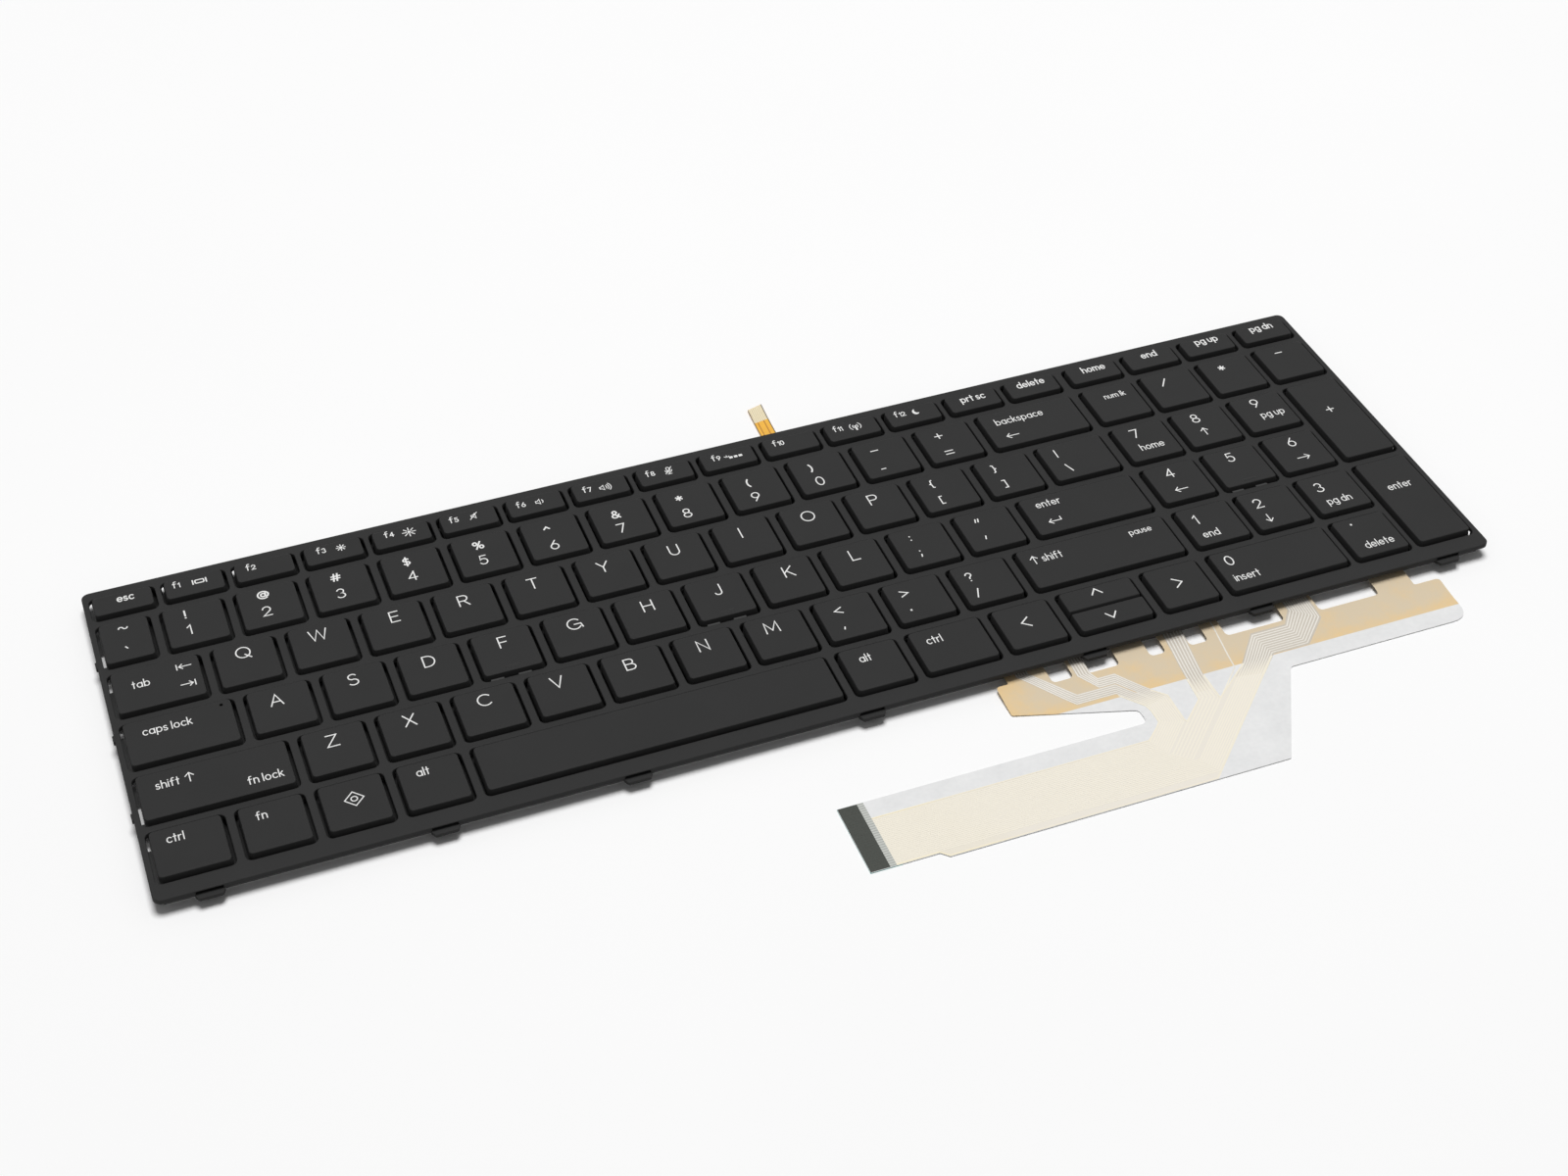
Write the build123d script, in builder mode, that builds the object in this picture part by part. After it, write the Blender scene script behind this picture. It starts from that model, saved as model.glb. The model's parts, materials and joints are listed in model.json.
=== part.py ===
from build123d import *
from collections import namedtuple
from math import atan, degrees
import os

os.makedirs("parts", exist_ok=True)

# A laptop keyboard with a number pad, its membrane's film tail and its backlight's flex.
# The origin is the centre of the frame's plan on the surface that the keyboard rests on.
# +X points to the right, +Y to the screen and +Z up, in millimetres.

# Key grid
pitch = 18.7  # letter keys, centre to centre, both ways
key_gap = 4.0  # between the tops of neighbouring keys
function_key_depth = 7.0
pad_squeeze = 0.6  # how much closer the number pad's columns are than the letter keys
block_gap = 4.25  # between the typing block and the number pad
grave_width = 11.85  # the key left of the 1
backspace_width = 27.7
right_ctrl_width = 18.7
arrow_width = 19.65  # the up and down keys
arrow_split = 1.1  # between the tops of the up and down keys

# Key caps
key_height = 2.4
key_roof = 1.2  # thickness over the hollow
key_wall = 1.0  # from the edge of the top to the hollow
key_draft = 0.3  # how far the foot stands out past the top
key_corner = 1.2
key_travel = 1.5
press_clearance = 0.25  # left under a pressed key
indicator_hole = 0.9  # light hole in the caps lock key
indicator_from_right = 2.3
indicator_from_back = 1.5
homing_names = ("f", "j", "pad_5")  # keys with a bar to feel
homing_length = 3.6
homing_width = 0.55
homing_height = 0.12
homing_from_front = 1.5

# Layers, from the resting surface up
reflector_thickness = 0.15
light_guide_thickness = 0.4
light_mask_thickness = 0.1
plate_thickness = 0.5
membrane_thickness = 0.3

# Frame
bezel_thickness = 1.2
key_stand = 1.0  # how far the key tops stand above the frame
opening_margin = 1.0  # from the edge of a key's top to its opening
opening_corner = 1.5
side_rim = 1.5
back_rim = 2.8
front_rim = 4.9
frame_corner = 2.0
rib_thickness = 0.6
post_length = 4.0
post_width = 1.2
post_spacing = 110.0
tongue_places = (0.0, 59.5, 106.1, 160.5)  # from the middle, on both sides
tongue_root_width = 6.9
tongue_tip_width = 5.4
tongue_thickness = 0.9
tongue_root = 2.0  # how far the root reaches in under the rim
tongue_reach = 1.4  # how far the tip stands out of the rim
notch_depth = 0.7  # recess in the rim above a tongue
notch_height = 0.9
notch_inset = 0.3  # from the side of a tongue's root to the side of its notch
nub_spacing = 27.2
nub_length = 2.3
nub_reach = 0.4

# Sheets under the frame
plate_inset = 2.2  # from the frame's edge to the plate
light_inset = 0.5  # from the plate's edge to the backlight sheets
sheet_clearance = 0.3  # around the ribs and posts

# Rubber domes
dome_radius = 2.4
dome_top_radius = 1.1

# Film flap and tail. Depths are measured from the frame's front edge.
neck_left = 35.7
neck_right = 148.7
lobe_left = 32.4
lobe_depth = 0.7
lobe_far_depth = 10.2
slot_right = 62.2
slot_depth = 19.3
slot_width = 4.7  # between the flap and the arm that goes back along it
tail_left = -18.7
tail_width = 21.1  # contact end of the arm
shoulder_left = -1.5
shoulder_drop = 1.8  # how far the arm is wider than its contact end
arm_right = 88.8
flap_bend_right = 104.4
flap_right = 156.0
flap_far_depth = 18.9
cutout_depth = 3.9
cutouts = ((46.3, 52.0), (55.8, 64.7), (73.2, 77.5), (84.2, 89.3), (94.4, 111.0), (121.1, 138.4))
cutout_corner = 1.2
lobe_corner = 1.2
slot_corner = 1.8
flap_corner = 5.0
landing_depth = 13.0  # where the film comes to lie flat
stiffener_length = 8.0
stiffener_thickness = 0.2

# Backlight flex
flex_x = 15.6
flex_width = 4.5
flex_thickness = 0.2
flex_inside = 4.0  # length inside the light guide's notch
flex_reach = 18.4  # past the frame's back edge
flex_rise = 1.5  # lift of its free end

# Plan sizes that follow from the key grid
letter = pitch - key_gap
pad_pitch = pitch - pad_squeeze
half_key = (letter - arrow_split) / 2
main_width = grave_width + key_gap + 12 * pitch + backspace_width
pad_width = 3 * pad_pitch + letter
frame_width = 2 * (side_rim + opening_margin) + main_width + block_gap + pad_width
frame_depth = front_rim + back_rim + 2 * opening_margin + 5 * pitch + function_key_depth
front_edge = -frame_depth / 2
back_edge = frame_depth / 2
block_left = -frame_width / 2 + side_rim + opening_margin
block_right = block_left + main_width
pad_left = block_right + block_gap
plate_width = frame_width - 2 * plate_inset
plate_front = front_edge + plate_inset
plate_back = back_edge - plate_inset
sheet_front = plate_front + rib_thickness + sheet_clearance
sheet_back = plate_back - rib_thickness - sheet_clearance

# Heights that follow from the layers
light_guide_z = reflector_thickness
light_mask_z = light_guide_z + light_guide_thickness
plate_z = light_mask_z + light_mask_thickness
membrane_z = plate_z + plate_thickness
membrane_top = membrane_z + membrane_thickness
skirt_z = membrane_top + press_clearance + key_travel
key_top_z = skirt_z + key_height
bezel_z = key_top_z - key_stand - bezel_thickness
dome_height = key_top_z - key_roof - membrane_top

Key = namedtuple("Key", "name x y width depth")


def row_front(row):
    """Front edge of a row's key tops. Row 0 is the space bar's row, row 5 the function row."""
    return front_edge + front_rim + opening_margin + row * pitch


def key_between(name, left, right, row, depth=letter):
    """A key whose top runs from left to right, with its front edge on the row's front edge."""
    return Key(name, (left + right) / 2, row_front(row) + depth / 2, right - left, depth)


def typing_row(row, first, names):
    """An edge key, keys at the pitch from the left edge first on, and an edge key."""
    *inner_names, last_name = names.split()
    keys = [key_between(inner_names[0], block_left, first - key_gap, row)]
    for place, name in enumerate(inner_names[1:]):
        left = first + place * pitch
        keys.append(key_between(name, left, left + letter, row))
    keys.append(key_between(last_name, keys[-1].x + letter / 2 + key_gap, block_right, row))
    return keys


def pad_key(name, column, row, columns=1, rows=1):
    """A number pad key that takes up one or two columns or rows."""
    left = pad_left + column * pad_pitch
    right = left + letter + (columns - 1) * pad_pitch
    return key_between(name, left, right, row, letter + (rows - 1) * pitch)


def function_row():
    """The half-height keys along the back edge."""
    names = "esc f1 f2 f3 f4 f5 f6 f7 f8 f9 f10 f11 f12 print delete".split()
    step = (main_width - letter) / (len(names) - 1)
    lefts = [block_left + place * step for place in range(len(names))]
    pad_names = "home end page_up page_down".split()
    lefts += [pad_left + column * pad_pitch for column in range(len(pad_names))]
    return [
        key_between(name, left, left + letter, 5, function_key_depth)
        for name, left in zip(names + pad_names, lefts)
    ]


def control_row(first):
    """The space bar's row. The keys beside the space bar follow the letter keys above."""
    right_left = block_right - letter
    arrow_left = right_left - key_gap - arrow_width
    left_left = arrow_left - pitch
    ctrl_left = left_left - key_gap - right_ctrl_width
    alt_left = ctrl_left - pitch
    down = key_between("down", arrow_left, arrow_left + arrow_width, 0, half_key)
    return [
        key_between("left_ctrl", block_left, first - pitch - key_gap, 0),
        key_between("fn", first - pitch, first - key_gap, 0),
        key_between("system", first, first + letter, 0),
        key_between("left_alt", first + pitch, first + pitch + letter, 0),
        key_between("space", first + 2 * pitch, alt_left - key_gap, 0),
        key_between("right_alt", alt_left, alt_left + letter, 0),
        key_between("right_ctrl", ctrl_left, ctrl_left + right_ctrl_width, 0),
        key_between("left", left_left, left_left + letter, 0),
        down,
        down._replace(name="up", y=down.y + half_key + arrow_split),
        key_between("right", right_left, block_right, 0),
    ]


def number_pad():
    """The number pad, with its two tall keys and its wide zero."""
    return [
        pad_key("num_lock", 0, 4),
        pad_key("divide", 1, 4),
        pad_key("multiply", 2, 4),
        pad_key("subtract", 3, 4),
        *[pad_key(f"pad_{7 + column}", column, 3) for column in range(3)],
        *[pad_key(f"pad_{4 + column}", column, 2) for column in range(3)],
        *[pad_key(f"pad_{1 + column}", column, 1) for column in range(3)],
        pad_key("add", 3, 2, rows=2),
        pad_key("pad_enter", 3, 0, rows=2),
        pad_key("pad_0", 0, 0, columns=2),
        pad_key("decimal", 2, 0),
    ]


number_first = block_left + grave_width + key_gap
tab_first = number_first + pitch / 2
caps_first = tab_first + pitch / 4
shift_first = caps_first + pitch / 2
function_keys = function_row()
pad_keys = number_pad()
typing_keys = [
    *typing_row(4, number_first, "grave 1 2 3 4 5 6 7 8 9 0 minus equals backspace"),
    *typing_row(3, tab_first, "tab q w e r t y u i o p left_bracket right_bracket backslash"),
    *typing_row(2, caps_first, "caps_lock a s d f g h j k l semicolon quote enter"),
    *typing_row(1, shift_first, "left_shift z x c v b n m comma period slash right_shift"),
    *control_row(shift_first),
]
all_keys = function_keys + typing_keys + pad_keys
symbol_names = (
    "grave minus equals left_bracket right_bracket backslash semicolon quote comma period slash"
).split()
modifier_names = "left_ctrl fn system left_alt right_alt right_ctrl".split()
symbol_keys = [key for key in typing_keys if key.name in symbol_names]
modifier_keys = [key for key in typing_keys if key.name in modifier_names]
single_keys = [key for key in typing_keys if key.name not in symbol_names + modifier_names]


def key_outlines(keys, margin):
    """Rectangles of the keys' tops, grown by a margin on each side, in the open sketch."""
    for key in keys:
        with Locations((key.x, key.y)):
            Rectangle(key.width + 2 * margin, key.depth + 2 * margin)


def key_caps(keys):
    """Hollow caps with drafted walls, one solid for each key."""
    with BuildPart() as caps:
        with BuildSketch(Plane.XY.offset(skirt_z)) as feet:
            key_outlines(keys, key_draft)
            chamfer(feet.vertices(), key_corner)
        extrude(amount=key_height, taper=degrees(atan(key_draft / key_height)))
        with BuildSketch(Plane.XY.offset(skirt_z)):
            key_outlines(keys, -key_wall)
        extrude(amount=key_height - key_roof, mode=Mode.SUBTRACT)
        for key in keys:
            if key.name == "caps_lock":
                hole_x = key.x + key.width / 2 - indicator_from_right
                hole_y = key.y + key.depth / 2 - indicator_from_back
                with BuildSketch(Plane.XY.offset(key_top_z)):
                    with Locations((hole_x, hole_y)):
                        RegularPolygon(indicator_hole / 2, 8)
                extrude(amount=-key_roof, mode=Mode.SUBTRACT)
            if key.name in homing_names:
                with BuildSketch(Plane.XY.offset(key_top_z)):
                    with Locations((key.x, key.y - key.depth / 2 + homing_from_front)):
                        Rectangle(homing_length, homing_width)
                extrude(amount=homing_height)
    return caps


# Frame with the key openings, standing on the plate with ribs along its edges and posts under its bars
mirrored_places = sorted({side * place for place in tongue_places for side in (-1, 1)})
rib_spans = (
    (-plate_width / 2, lobe_left - sheet_clearance),
    (flap_right + sheet_clearance, plate_width / 2),
)
post_places = [
    (column * post_spacing, row_front(row) - key_gap / 2)
    for row in range(1, 6)
    for column in (-1, 0, 1)
]
with BuildPart() as bezel:
    with BuildSketch(Plane.XY.offset(bezel_z)):
        RectangleRounded(frame_width, frame_depth, frame_corner)
        with Locations((-frame_width / 2, 0)):
            with GridLocations(0, nub_spacing, 1, 3):
                Rectangle(2 * nub_reach, nub_length)
    extrude(amount=bezel_thickness)
    with BuildSketch(Plane.XY.offset(bezel_z)) as openings:
        key_outlines(all_keys, opening_margin)
        chamfer(openings.vertices(), opening_corner)
    extrude(amount=bezel_thickness, mode=Mode.SUBTRACT)
    with BuildSketch(Plane.XY.offset(membrane_z)):
        with Locations((0, plate_back - rib_thickness / 2)):
            Rectangle(plate_width, rib_thickness)
        for rib_left, rib_right in rib_spans:
            with Locations(((rib_left + rib_right) / 2, plate_front + rib_thickness / 2)):
                Rectangle(rib_right - rib_left, rib_thickness)
        with Locations(*post_places):
            Rectangle(post_length, post_width)
    extrude(amount=bezel_z - membrane_z)
    with BuildSketch(Plane.XY.offset(bezel_z)):
        with Locations(*[(place, front_edge + notch_depth / 2) for place in mirrored_places]):
            Rectangle(tongue_root_width - 2 * notch_inset, notch_depth)
    extrude(amount=notch_height, mode=Mode.SUBTRACT)
    with BuildSketch(Plane.XY.offset(bezel_z)):
        for place in mirrored_places:
            with BuildLine():
                Polyline(
                    (place - tongue_root_width / 2, front_edge + tongue_root),
                    (place - tongue_root_width / 2, front_edge),
                    (place - tongue_tip_width / 2, front_edge - tongue_reach),
                    (place + tongue_tip_width / 2, front_edge - tongue_reach),
                    (place + tongue_root_width / 2, front_edge),
                    (place + tongue_root_width / 2, front_edge + tongue_root),
                    close=True,
                )
            make_face()
    extrude(amount=-tongue_thickness)
bezel.part.label = "bezel"
export_step(bezel.part, "parts/bezel.step")

# Base plate
with BuildPart() as base_plate:
    with BuildSketch(Plane.XY.offset(plate_z)):
        with Locations((0, (plate_front + plate_back) / 2)):
            Rectangle(plate_width, plate_back - plate_front)
    extrude(amount=plate_thickness)
base_plate.part.label = "base_plate"
export_step(base_plate.part, "parts/base_plate.step")

# Film flap: a strip as wide as the whole flap and tail, sloping from the plate's edge down to the
# resting surface and cut to the flap's outline
film_z = stiffener_thickness
landing_y = front_edge - landing_depth
arm_back = front_edge - slot_depth - slot_width
tail_front = arm_back - tail_width
film_end = tail_front - shoulder_drop
slot_radius = min(slot_corner, 0.4 * slot_width)
outline = (
    ((neck_left, sheet_front), 0),
    ((neck_left, front_edge - lobe_depth), 0),
    ((lobe_left, front_edge - lobe_depth), lobe_corner),
    ((lobe_left, front_edge - lobe_far_depth), 0),
    ((slot_right, front_edge - slot_depth), slot_radius),
    ((slot_right, arm_back), slot_radius),
    ((tail_left, arm_back), 0),
    ((tail_left, tail_front), 0),
    ((shoulder_left, tail_front), 0),
    ((shoulder_left + shoulder_drop, film_end), 0),
    ((arm_right, film_end), 0),
    ((flap_bend_right, front_edge - flap_far_depth), slot_corner),
    ((flap_right, front_edge - flap_far_depth), flap_corner),
    ((flap_right, front_edge - cutout_depth), lobe_corner),
    ((neck_right, front_edge - cutout_depth), 0),
    ((neck_right, sheet_front), 0),
)
with BuildPart() as film_flap:
    with BuildSketch(Plane.YZ.offset(tail_left)):
        with BuildLine():
            lower = Polyline(
                (sheet_front, membrane_z),
                (plate_front, membrane_z),
                (landing_y, film_z),
                (film_end, film_z),
            )
            upper = Polyline(
                (sheet_front, membrane_top),
                (plate_front, membrane_top),
                (landing_y, film_z + membrane_thickness),
                (film_end, film_z + membrane_thickness),
            )
            Line(lower @ 0, upper @ 0)
            Line(lower @ 1, upper @ 1)
        make_face()
    extrude(amount=flap_right - tail_left)
    with BuildSketch():
        with BuildLine():
            FilletPolyline(
                *[point for point, radius in outline],
                radius=[radius for point, radius in outline],
                close=True,
            )
        make_face()
    extrude(amount=membrane_top, mode=Mode.INTERSECT)
    with BuildSketch() as flap_cutouts:
        for cutout_left, cutout_right in cutouts:
            with Locations(((cutout_left + cutout_right) / 2, front_edge - cutout_depth)):
                Rectangle(
                    cutout_right - cutout_left,
                    sheet_front - front_edge + cutout_depth,
                    align=(Align.CENTER, Align.MIN),
                )
        chamfer(flap_cutouts.vertices().group_by(Axis.Y)[0], cutout_corner)
    extrude(amount=membrane_top, mode=Mode.SUBTRACT)

# Membrane circuit: the sheet under the domes, in one piece with its flap
with BuildPart() as membrane_circuit:
    with BuildSketch(Plane.XY.offset(membrane_z)):
        with Locations((0, (sheet_front + sheet_back) / 2)):
            Rectangle(plate_width, sheet_back - sheet_front)
        with Locations(*post_places):
            Rectangle(
                post_length + 2 * sheet_clearance,
                post_width + 2 * sheet_clearance,
                mode=Mode.SUBTRACT,
            )
    extrude(amount=membrane_thickness)
    add(film_flap.part)
membrane_circuit.part.label = "membrane_circuit"
export_step(membrane_circuit.part, "parts/membrane_circuit.step")

# Stiffener under the contact end of the tail
with BuildPart() as tail_stiffener:
    with BuildSketch():
        with Locations((tail_left + stiffener_length / 2, (arm_back + tail_front) / 2)):
            Rectangle(stiffener_length, tail_width)
    extrude(amount=stiffener_thickness)
tail_stiffener.part.label = "tail_stiffener"
export_step(tail_stiffener.part, "parts/tail_stiffener.step")

# Backlight sheets under the plate
light_width = plate_width - 2 * light_inset
light_front = plate_front + light_inset
light_back = plate_back - light_inset
notch_end = light_back - flex_inside


def light_sheet(height):
    """Outline of a backlight sheet, as a sketch at a height."""
    with BuildSketch(Plane.XY.offset(height)) as sheet:
        with Locations((0, (light_front + light_back) / 2)):
            Rectangle(light_width, light_back - light_front)
    return sheet.sketch


with BuildPart() as reflector_sheet:
    extrude(light_sheet(0), amount=reflector_thickness)
reflector_sheet.part.label = "reflector_sheet"
export_step(reflector_sheet.part, "parts/reflector_sheet.step")

with BuildPart() as light_guide:
    extrude(light_sheet(light_guide_z), amount=light_guide_thickness)
    with BuildSketch(Plane.XY.offset(light_guide_z)):
        with Locations((flex_x, notch_end)):
            Rectangle(
                flex_width + 2 * sheet_clearance,
                flex_inside,
                align=(Align.CENTER, Align.MIN),
            )
    extrude(amount=light_guide_thickness, mode=Mode.SUBTRACT)
light_guide.part.label = "light_guide"
export_step(light_guide.part, "parts/light_guide.step")

with BuildPart() as light_mask:
    extrude(light_sheet(light_mask_z), amount=light_mask_thickness)
light_mask.part.label = "light_mask"
export_step(light_mask.part, "parts/light_mask.step")

# Backlight flex: it lies on the reflector in the light guide's notch and its free end lifts
flex_end = back_edge + flex_reach
flex_top_z = light_guide_z + flex_thickness
with BuildPart() as backlight_flex:
    with BuildSketch(Plane.YZ.offset(flex_x - flex_width / 2)):
        with BuildLine():
            lying = Line((notch_end, light_guide_z), (back_edge, light_guide_z))
            TangentArc(lying @ 1, (flex_end, light_guide_z + flex_rise), tangent=lying % 1)
            Line((flex_end, light_guide_z + flex_rise), (flex_end, flex_top_z + flex_rise))
            upper_lying = Line((notch_end, flex_top_z), (back_edge, flex_top_z))
            TangentArc(upper_lying @ 1, (flex_end, flex_top_z + flex_rise), tangent=upper_lying % 1)
            Line((notch_end, flex_top_z), (notch_end, light_guide_z))
        make_face()
    extrude(amount=flex_width)
backlight_flex.part.label = "backlight_flex"
export_step(backlight_flex.part, "parts/backlight_flex.step")

# Rubber domes between the membrane and the key caps
with BuildPart() as rubber_domes:
    with BuildSketch(Plane.XY.offset(membrane_top)):
        with Locations(*[(key.x, key.y) for key in all_keys]):
            RegularPolygon(dome_radius, 6)
    extrude(amount=dome_height, taper=degrees(atan((dome_radius - dome_top_radius) / dome_height)))
rubber_domes.part.label = "rubber_domes"
export_step(rubber_domes.part, "parts/rubber_domes.step")

# Key caps in groups
key_groups = {
    "function_row_keys": function_keys,
    "number_pad_keys": pad_keys,
    "symbol_keys": symbol_keys,
    "modifier_keys": modifier_keys,
}
for group_name, group in key_groups.items():
    key_group = key_caps(group)
    key_group.part.label = group_name
    export_step(key_group.part, f"parts/{group_name}.step")

# Key caps that move by themselves
for key in single_keys:
    key_cap = key_caps([key])
    key_cap.part.label = f"key_{key.name}"
    export_step(key_cap.part, f"parts/key_{key.name}.step")
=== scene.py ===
import json
from collections import namedtuple
from math import cos, pi, radians, sin, tan

import bmesh
import bpy
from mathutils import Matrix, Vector

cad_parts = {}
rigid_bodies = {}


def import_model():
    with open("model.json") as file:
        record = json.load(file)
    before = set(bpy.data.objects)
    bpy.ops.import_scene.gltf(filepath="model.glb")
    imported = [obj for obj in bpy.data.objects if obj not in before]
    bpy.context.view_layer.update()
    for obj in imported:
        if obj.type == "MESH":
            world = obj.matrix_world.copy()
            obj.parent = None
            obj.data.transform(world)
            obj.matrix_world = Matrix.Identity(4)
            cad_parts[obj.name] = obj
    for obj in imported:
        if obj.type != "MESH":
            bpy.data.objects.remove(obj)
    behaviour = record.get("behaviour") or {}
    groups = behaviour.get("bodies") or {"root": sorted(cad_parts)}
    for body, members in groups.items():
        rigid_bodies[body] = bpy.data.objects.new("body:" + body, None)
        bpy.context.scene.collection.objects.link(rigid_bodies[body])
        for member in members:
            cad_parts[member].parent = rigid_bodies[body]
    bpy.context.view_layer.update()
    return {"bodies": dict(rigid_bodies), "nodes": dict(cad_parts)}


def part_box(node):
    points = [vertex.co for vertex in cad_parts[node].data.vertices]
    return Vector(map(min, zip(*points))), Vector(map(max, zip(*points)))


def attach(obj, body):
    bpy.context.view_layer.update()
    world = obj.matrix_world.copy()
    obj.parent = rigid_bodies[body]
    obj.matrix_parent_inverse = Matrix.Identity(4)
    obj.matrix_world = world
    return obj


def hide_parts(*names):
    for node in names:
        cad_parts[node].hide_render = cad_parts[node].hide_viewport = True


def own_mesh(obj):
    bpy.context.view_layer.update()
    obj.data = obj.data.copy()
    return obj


# A laptop keyboard: key caps with lettering, frame, switches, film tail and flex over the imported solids.
# Sizes are in millimetres, and a mesh is scaled to metres when it becomes a piece.

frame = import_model()

MM = 0.001
ROOT = "frame_assembly"


def node_box(node):
    """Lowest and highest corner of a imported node, in millimetres."""
    low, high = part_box(node)
    return low / MM, high / MM


# Key caps
key_draft = 0.3  # how far the foot stands out past the top
key_corner = 0.95
meeting_corner = 0.35  # where the two half-height arrow keys meet
corner_tightening = 0.4  # what a corner's radius loses for each millimetre of inset
key_edge = 0.2  # rounding along the edge of the top
key_edge_steps = 4
key_land = 0.12  # flat strip inside the rounding
key_wall = 1.0
key_roof = 1.2
hollow_corner = 0.7
up_key_lip = 0.5  # extra slope at the front of the up key
shallow_depth = 10.0  # half-height keys are less deep than this
homing_keys = ("f", "j", "pad_5")
homing_length = 3.6
homing_width = 0.55
homing_height = 0.12
homing_rings = ((0.2, -0.02), (0.0, 0.6 * homing_height), (-0.18, homing_height))  # growth and height of each
homing_slack = 0.01  # keeps the ends of the bar just short of round
homing_from_front = 1.5
indicator_radius = 0.45
indicator_points = 16
indicator_from_right = 2.3
indicator_from_back = 1.5

# Frame
opening_margin = 1.0  # from the edge of a key's top to its opening
opening_corner = 1.6
frame_corner = 2.0
frame_edge = 0.22  # rounding along the upper edges
frame_edge_steps = 3
frame_land = 0.08  # flat strip beside the rounding
bezel_thickness = 1.2
plate_inset = 2.2
rib_thickness = 0.6
sheet_clearance = 0.3  # between a rib and the film
post_length = 4.0
post_width = 1.2
post_spacing = 110.0
post_from_key = 2.0  # from the front of a key's top to the middle of a post
tongue_places = (-160.5, -106.1, -59.5, 0.0, 59.5, 106.1, 160.5)
tongue_root_width = 6.9
tongue_tip_width = 5.4
tongue_root = 2.0
tongue_reach = 1.4
tongue_thickness = 0.9
tongue_corner = 0.5
notch_width = 6.3
notch_depth = 0.7
notch_height = 0.9
cutter_reach = 1.0  # how far the notch cutter stands out of the frame
nub_spacing = 27.2
nub_length = 2.3
nub_reach = 0.4
nub_root = 0.3
nub_corner = 0.25
nub_drop = 0.05  # from the frame's upper side
skirt_runs = ((-52.0, -47.5), (-46.4, -9.3), (-8.1, 28.5), (29.7, 47.2), (48.3, 52.0))
skirt_inset = 0.4
skirt_thickness = 0.4
tab_length = 3.3
tab_reach = 0.55
tab_root = 0.3
tab_thickness = 0.5
tab_drop = 0.15
tab_places = (2.8, 9.8)  # middle of each tab from the left of the key's top

# Film flap and tail
film_thickness = 0.1
film_tint_end = -68.7  # where the amber layer of the flap ends
gap_shade_reach = 0.2  # how far the black painted shade reaches past the plate
fade_start = -68.0  # where the lacquer starts to cover the silver lines
fade_end = -74.0
landing_depth = 13.0  # where the film comes to lie flat, from the frame's front edge
neck_left = 35.7
neck_right = 148.7
lobe_left = 32.4
lobe_depth = 0.7
lobe_far_depth = 10.2
slot_right = 62.2
slot_depth = 19.3
slot_width = 4.7
tail_left = -18.7
tail_width = 21.1
shoulder_left = -1.5
shoulder_drop = 1.8
arm_right = 88.8
flap_bend_right = 104.4
flap_right = 156.0
flap_far_depth = 18.9
cutout_depth = 3.9
cutout_corner = 1.2
cutout_margin = 0.2  # from the back of a cut-out to the front of the sheet
cutouts = ((46.3, 52.0), (55.8, 64.7), (73.2, 77.5), (84.2, 89.3), (94.4, 111.0), (121.1, 138.4))
print_lift = 0.012  # thickness of what is printed on the film
lacquer_margin = 0.15  # from the film's front edge
lacquer_bend = 69.0  # where the lacquer's front edge turns up to the right branch
rim_margin = 0.3
rim_bend = 69.3
rim_width = 0.4
lacquer_reach = 2.0  # how far past the landing the lacquer is cut into strips
line_width = 0.34
line_pitch = 0.55  # in the arm
arm_first = -85.3  # first line in the arm
band_overlap = 0.1  # how far a band reaches past its outer lines, in bundle widths
carbon_right = -13.8
contacts_end = -12.2  # where the hatched contacts meet the lacquer
tail_fingers = 28
carbon_share = 0.55  # width of a finger in the pitch
carbon_rise = 0.03
carbon_margin = 0.05
carbon_trim = 0.3  # how much shorter the fingers are than their band
hatch_share = 0.35
hatch_rise = 0.02
band_margin = 0.1
band_sink = 0.005

# Backlight flex
flex_thickness = 0.2
flex_lift = 0.15
flex_lean = 0.55  # sideways drift of the free end
flex_slant = 1.3  # how much shorter its left edge is
flex_steps = 10
contact_length = 6.8
contact_fingers = 7
contact_width = 0.18
contact_margin = 0.5  # from the flex's edge to the middle of its first contact
contact_gap = 0.25  # from its free end
contact_print = (0.025, 0.012)  # lift and thickness of the layer, as in the next ones
pad_print = (0.01, 0.01)
pad_margin = 0.15
pad_gap = 0.1
flex_line_print = (0.008, 0.008)
flex_line_width = 0.32
flex_line_left = 1.1  # from the flex's left edge
flex_line_right = 1.55
dark_edge_layer = (0.012, 0.012)
left_side_width = 0.16
right_side_width = 0.26

# Key switches
dome_radius = 2.4
dome_top_radius = 1.1
dome_sides = 16
collar_spread = 1.15  # radius of the collar, in foot radii
collar_share = 0.12  # of the dome's height
bell_share = 0.60
plunger_share = 0.28
switch_clearance = 0.05
link_length = 9.0
deep_link = 8.4  # width of the outer link
shallow_link = 3.6  # under half-height keys
link_thickness = 0.6
link_nesting = 2.6  # how much slimmer the inner link is, in link thicknesses
link_tilt = 12.5

# Left edge of the black mask film
mask_reach = 1.8
mask_runs = (
    (-52.0, -35.5), (-32.0, -26.6), (-20.6, -13.5), (-12.8, 3.6), (6.0, 20.5), (24.5, 30.1), (35.0, 52.9),
)

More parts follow.
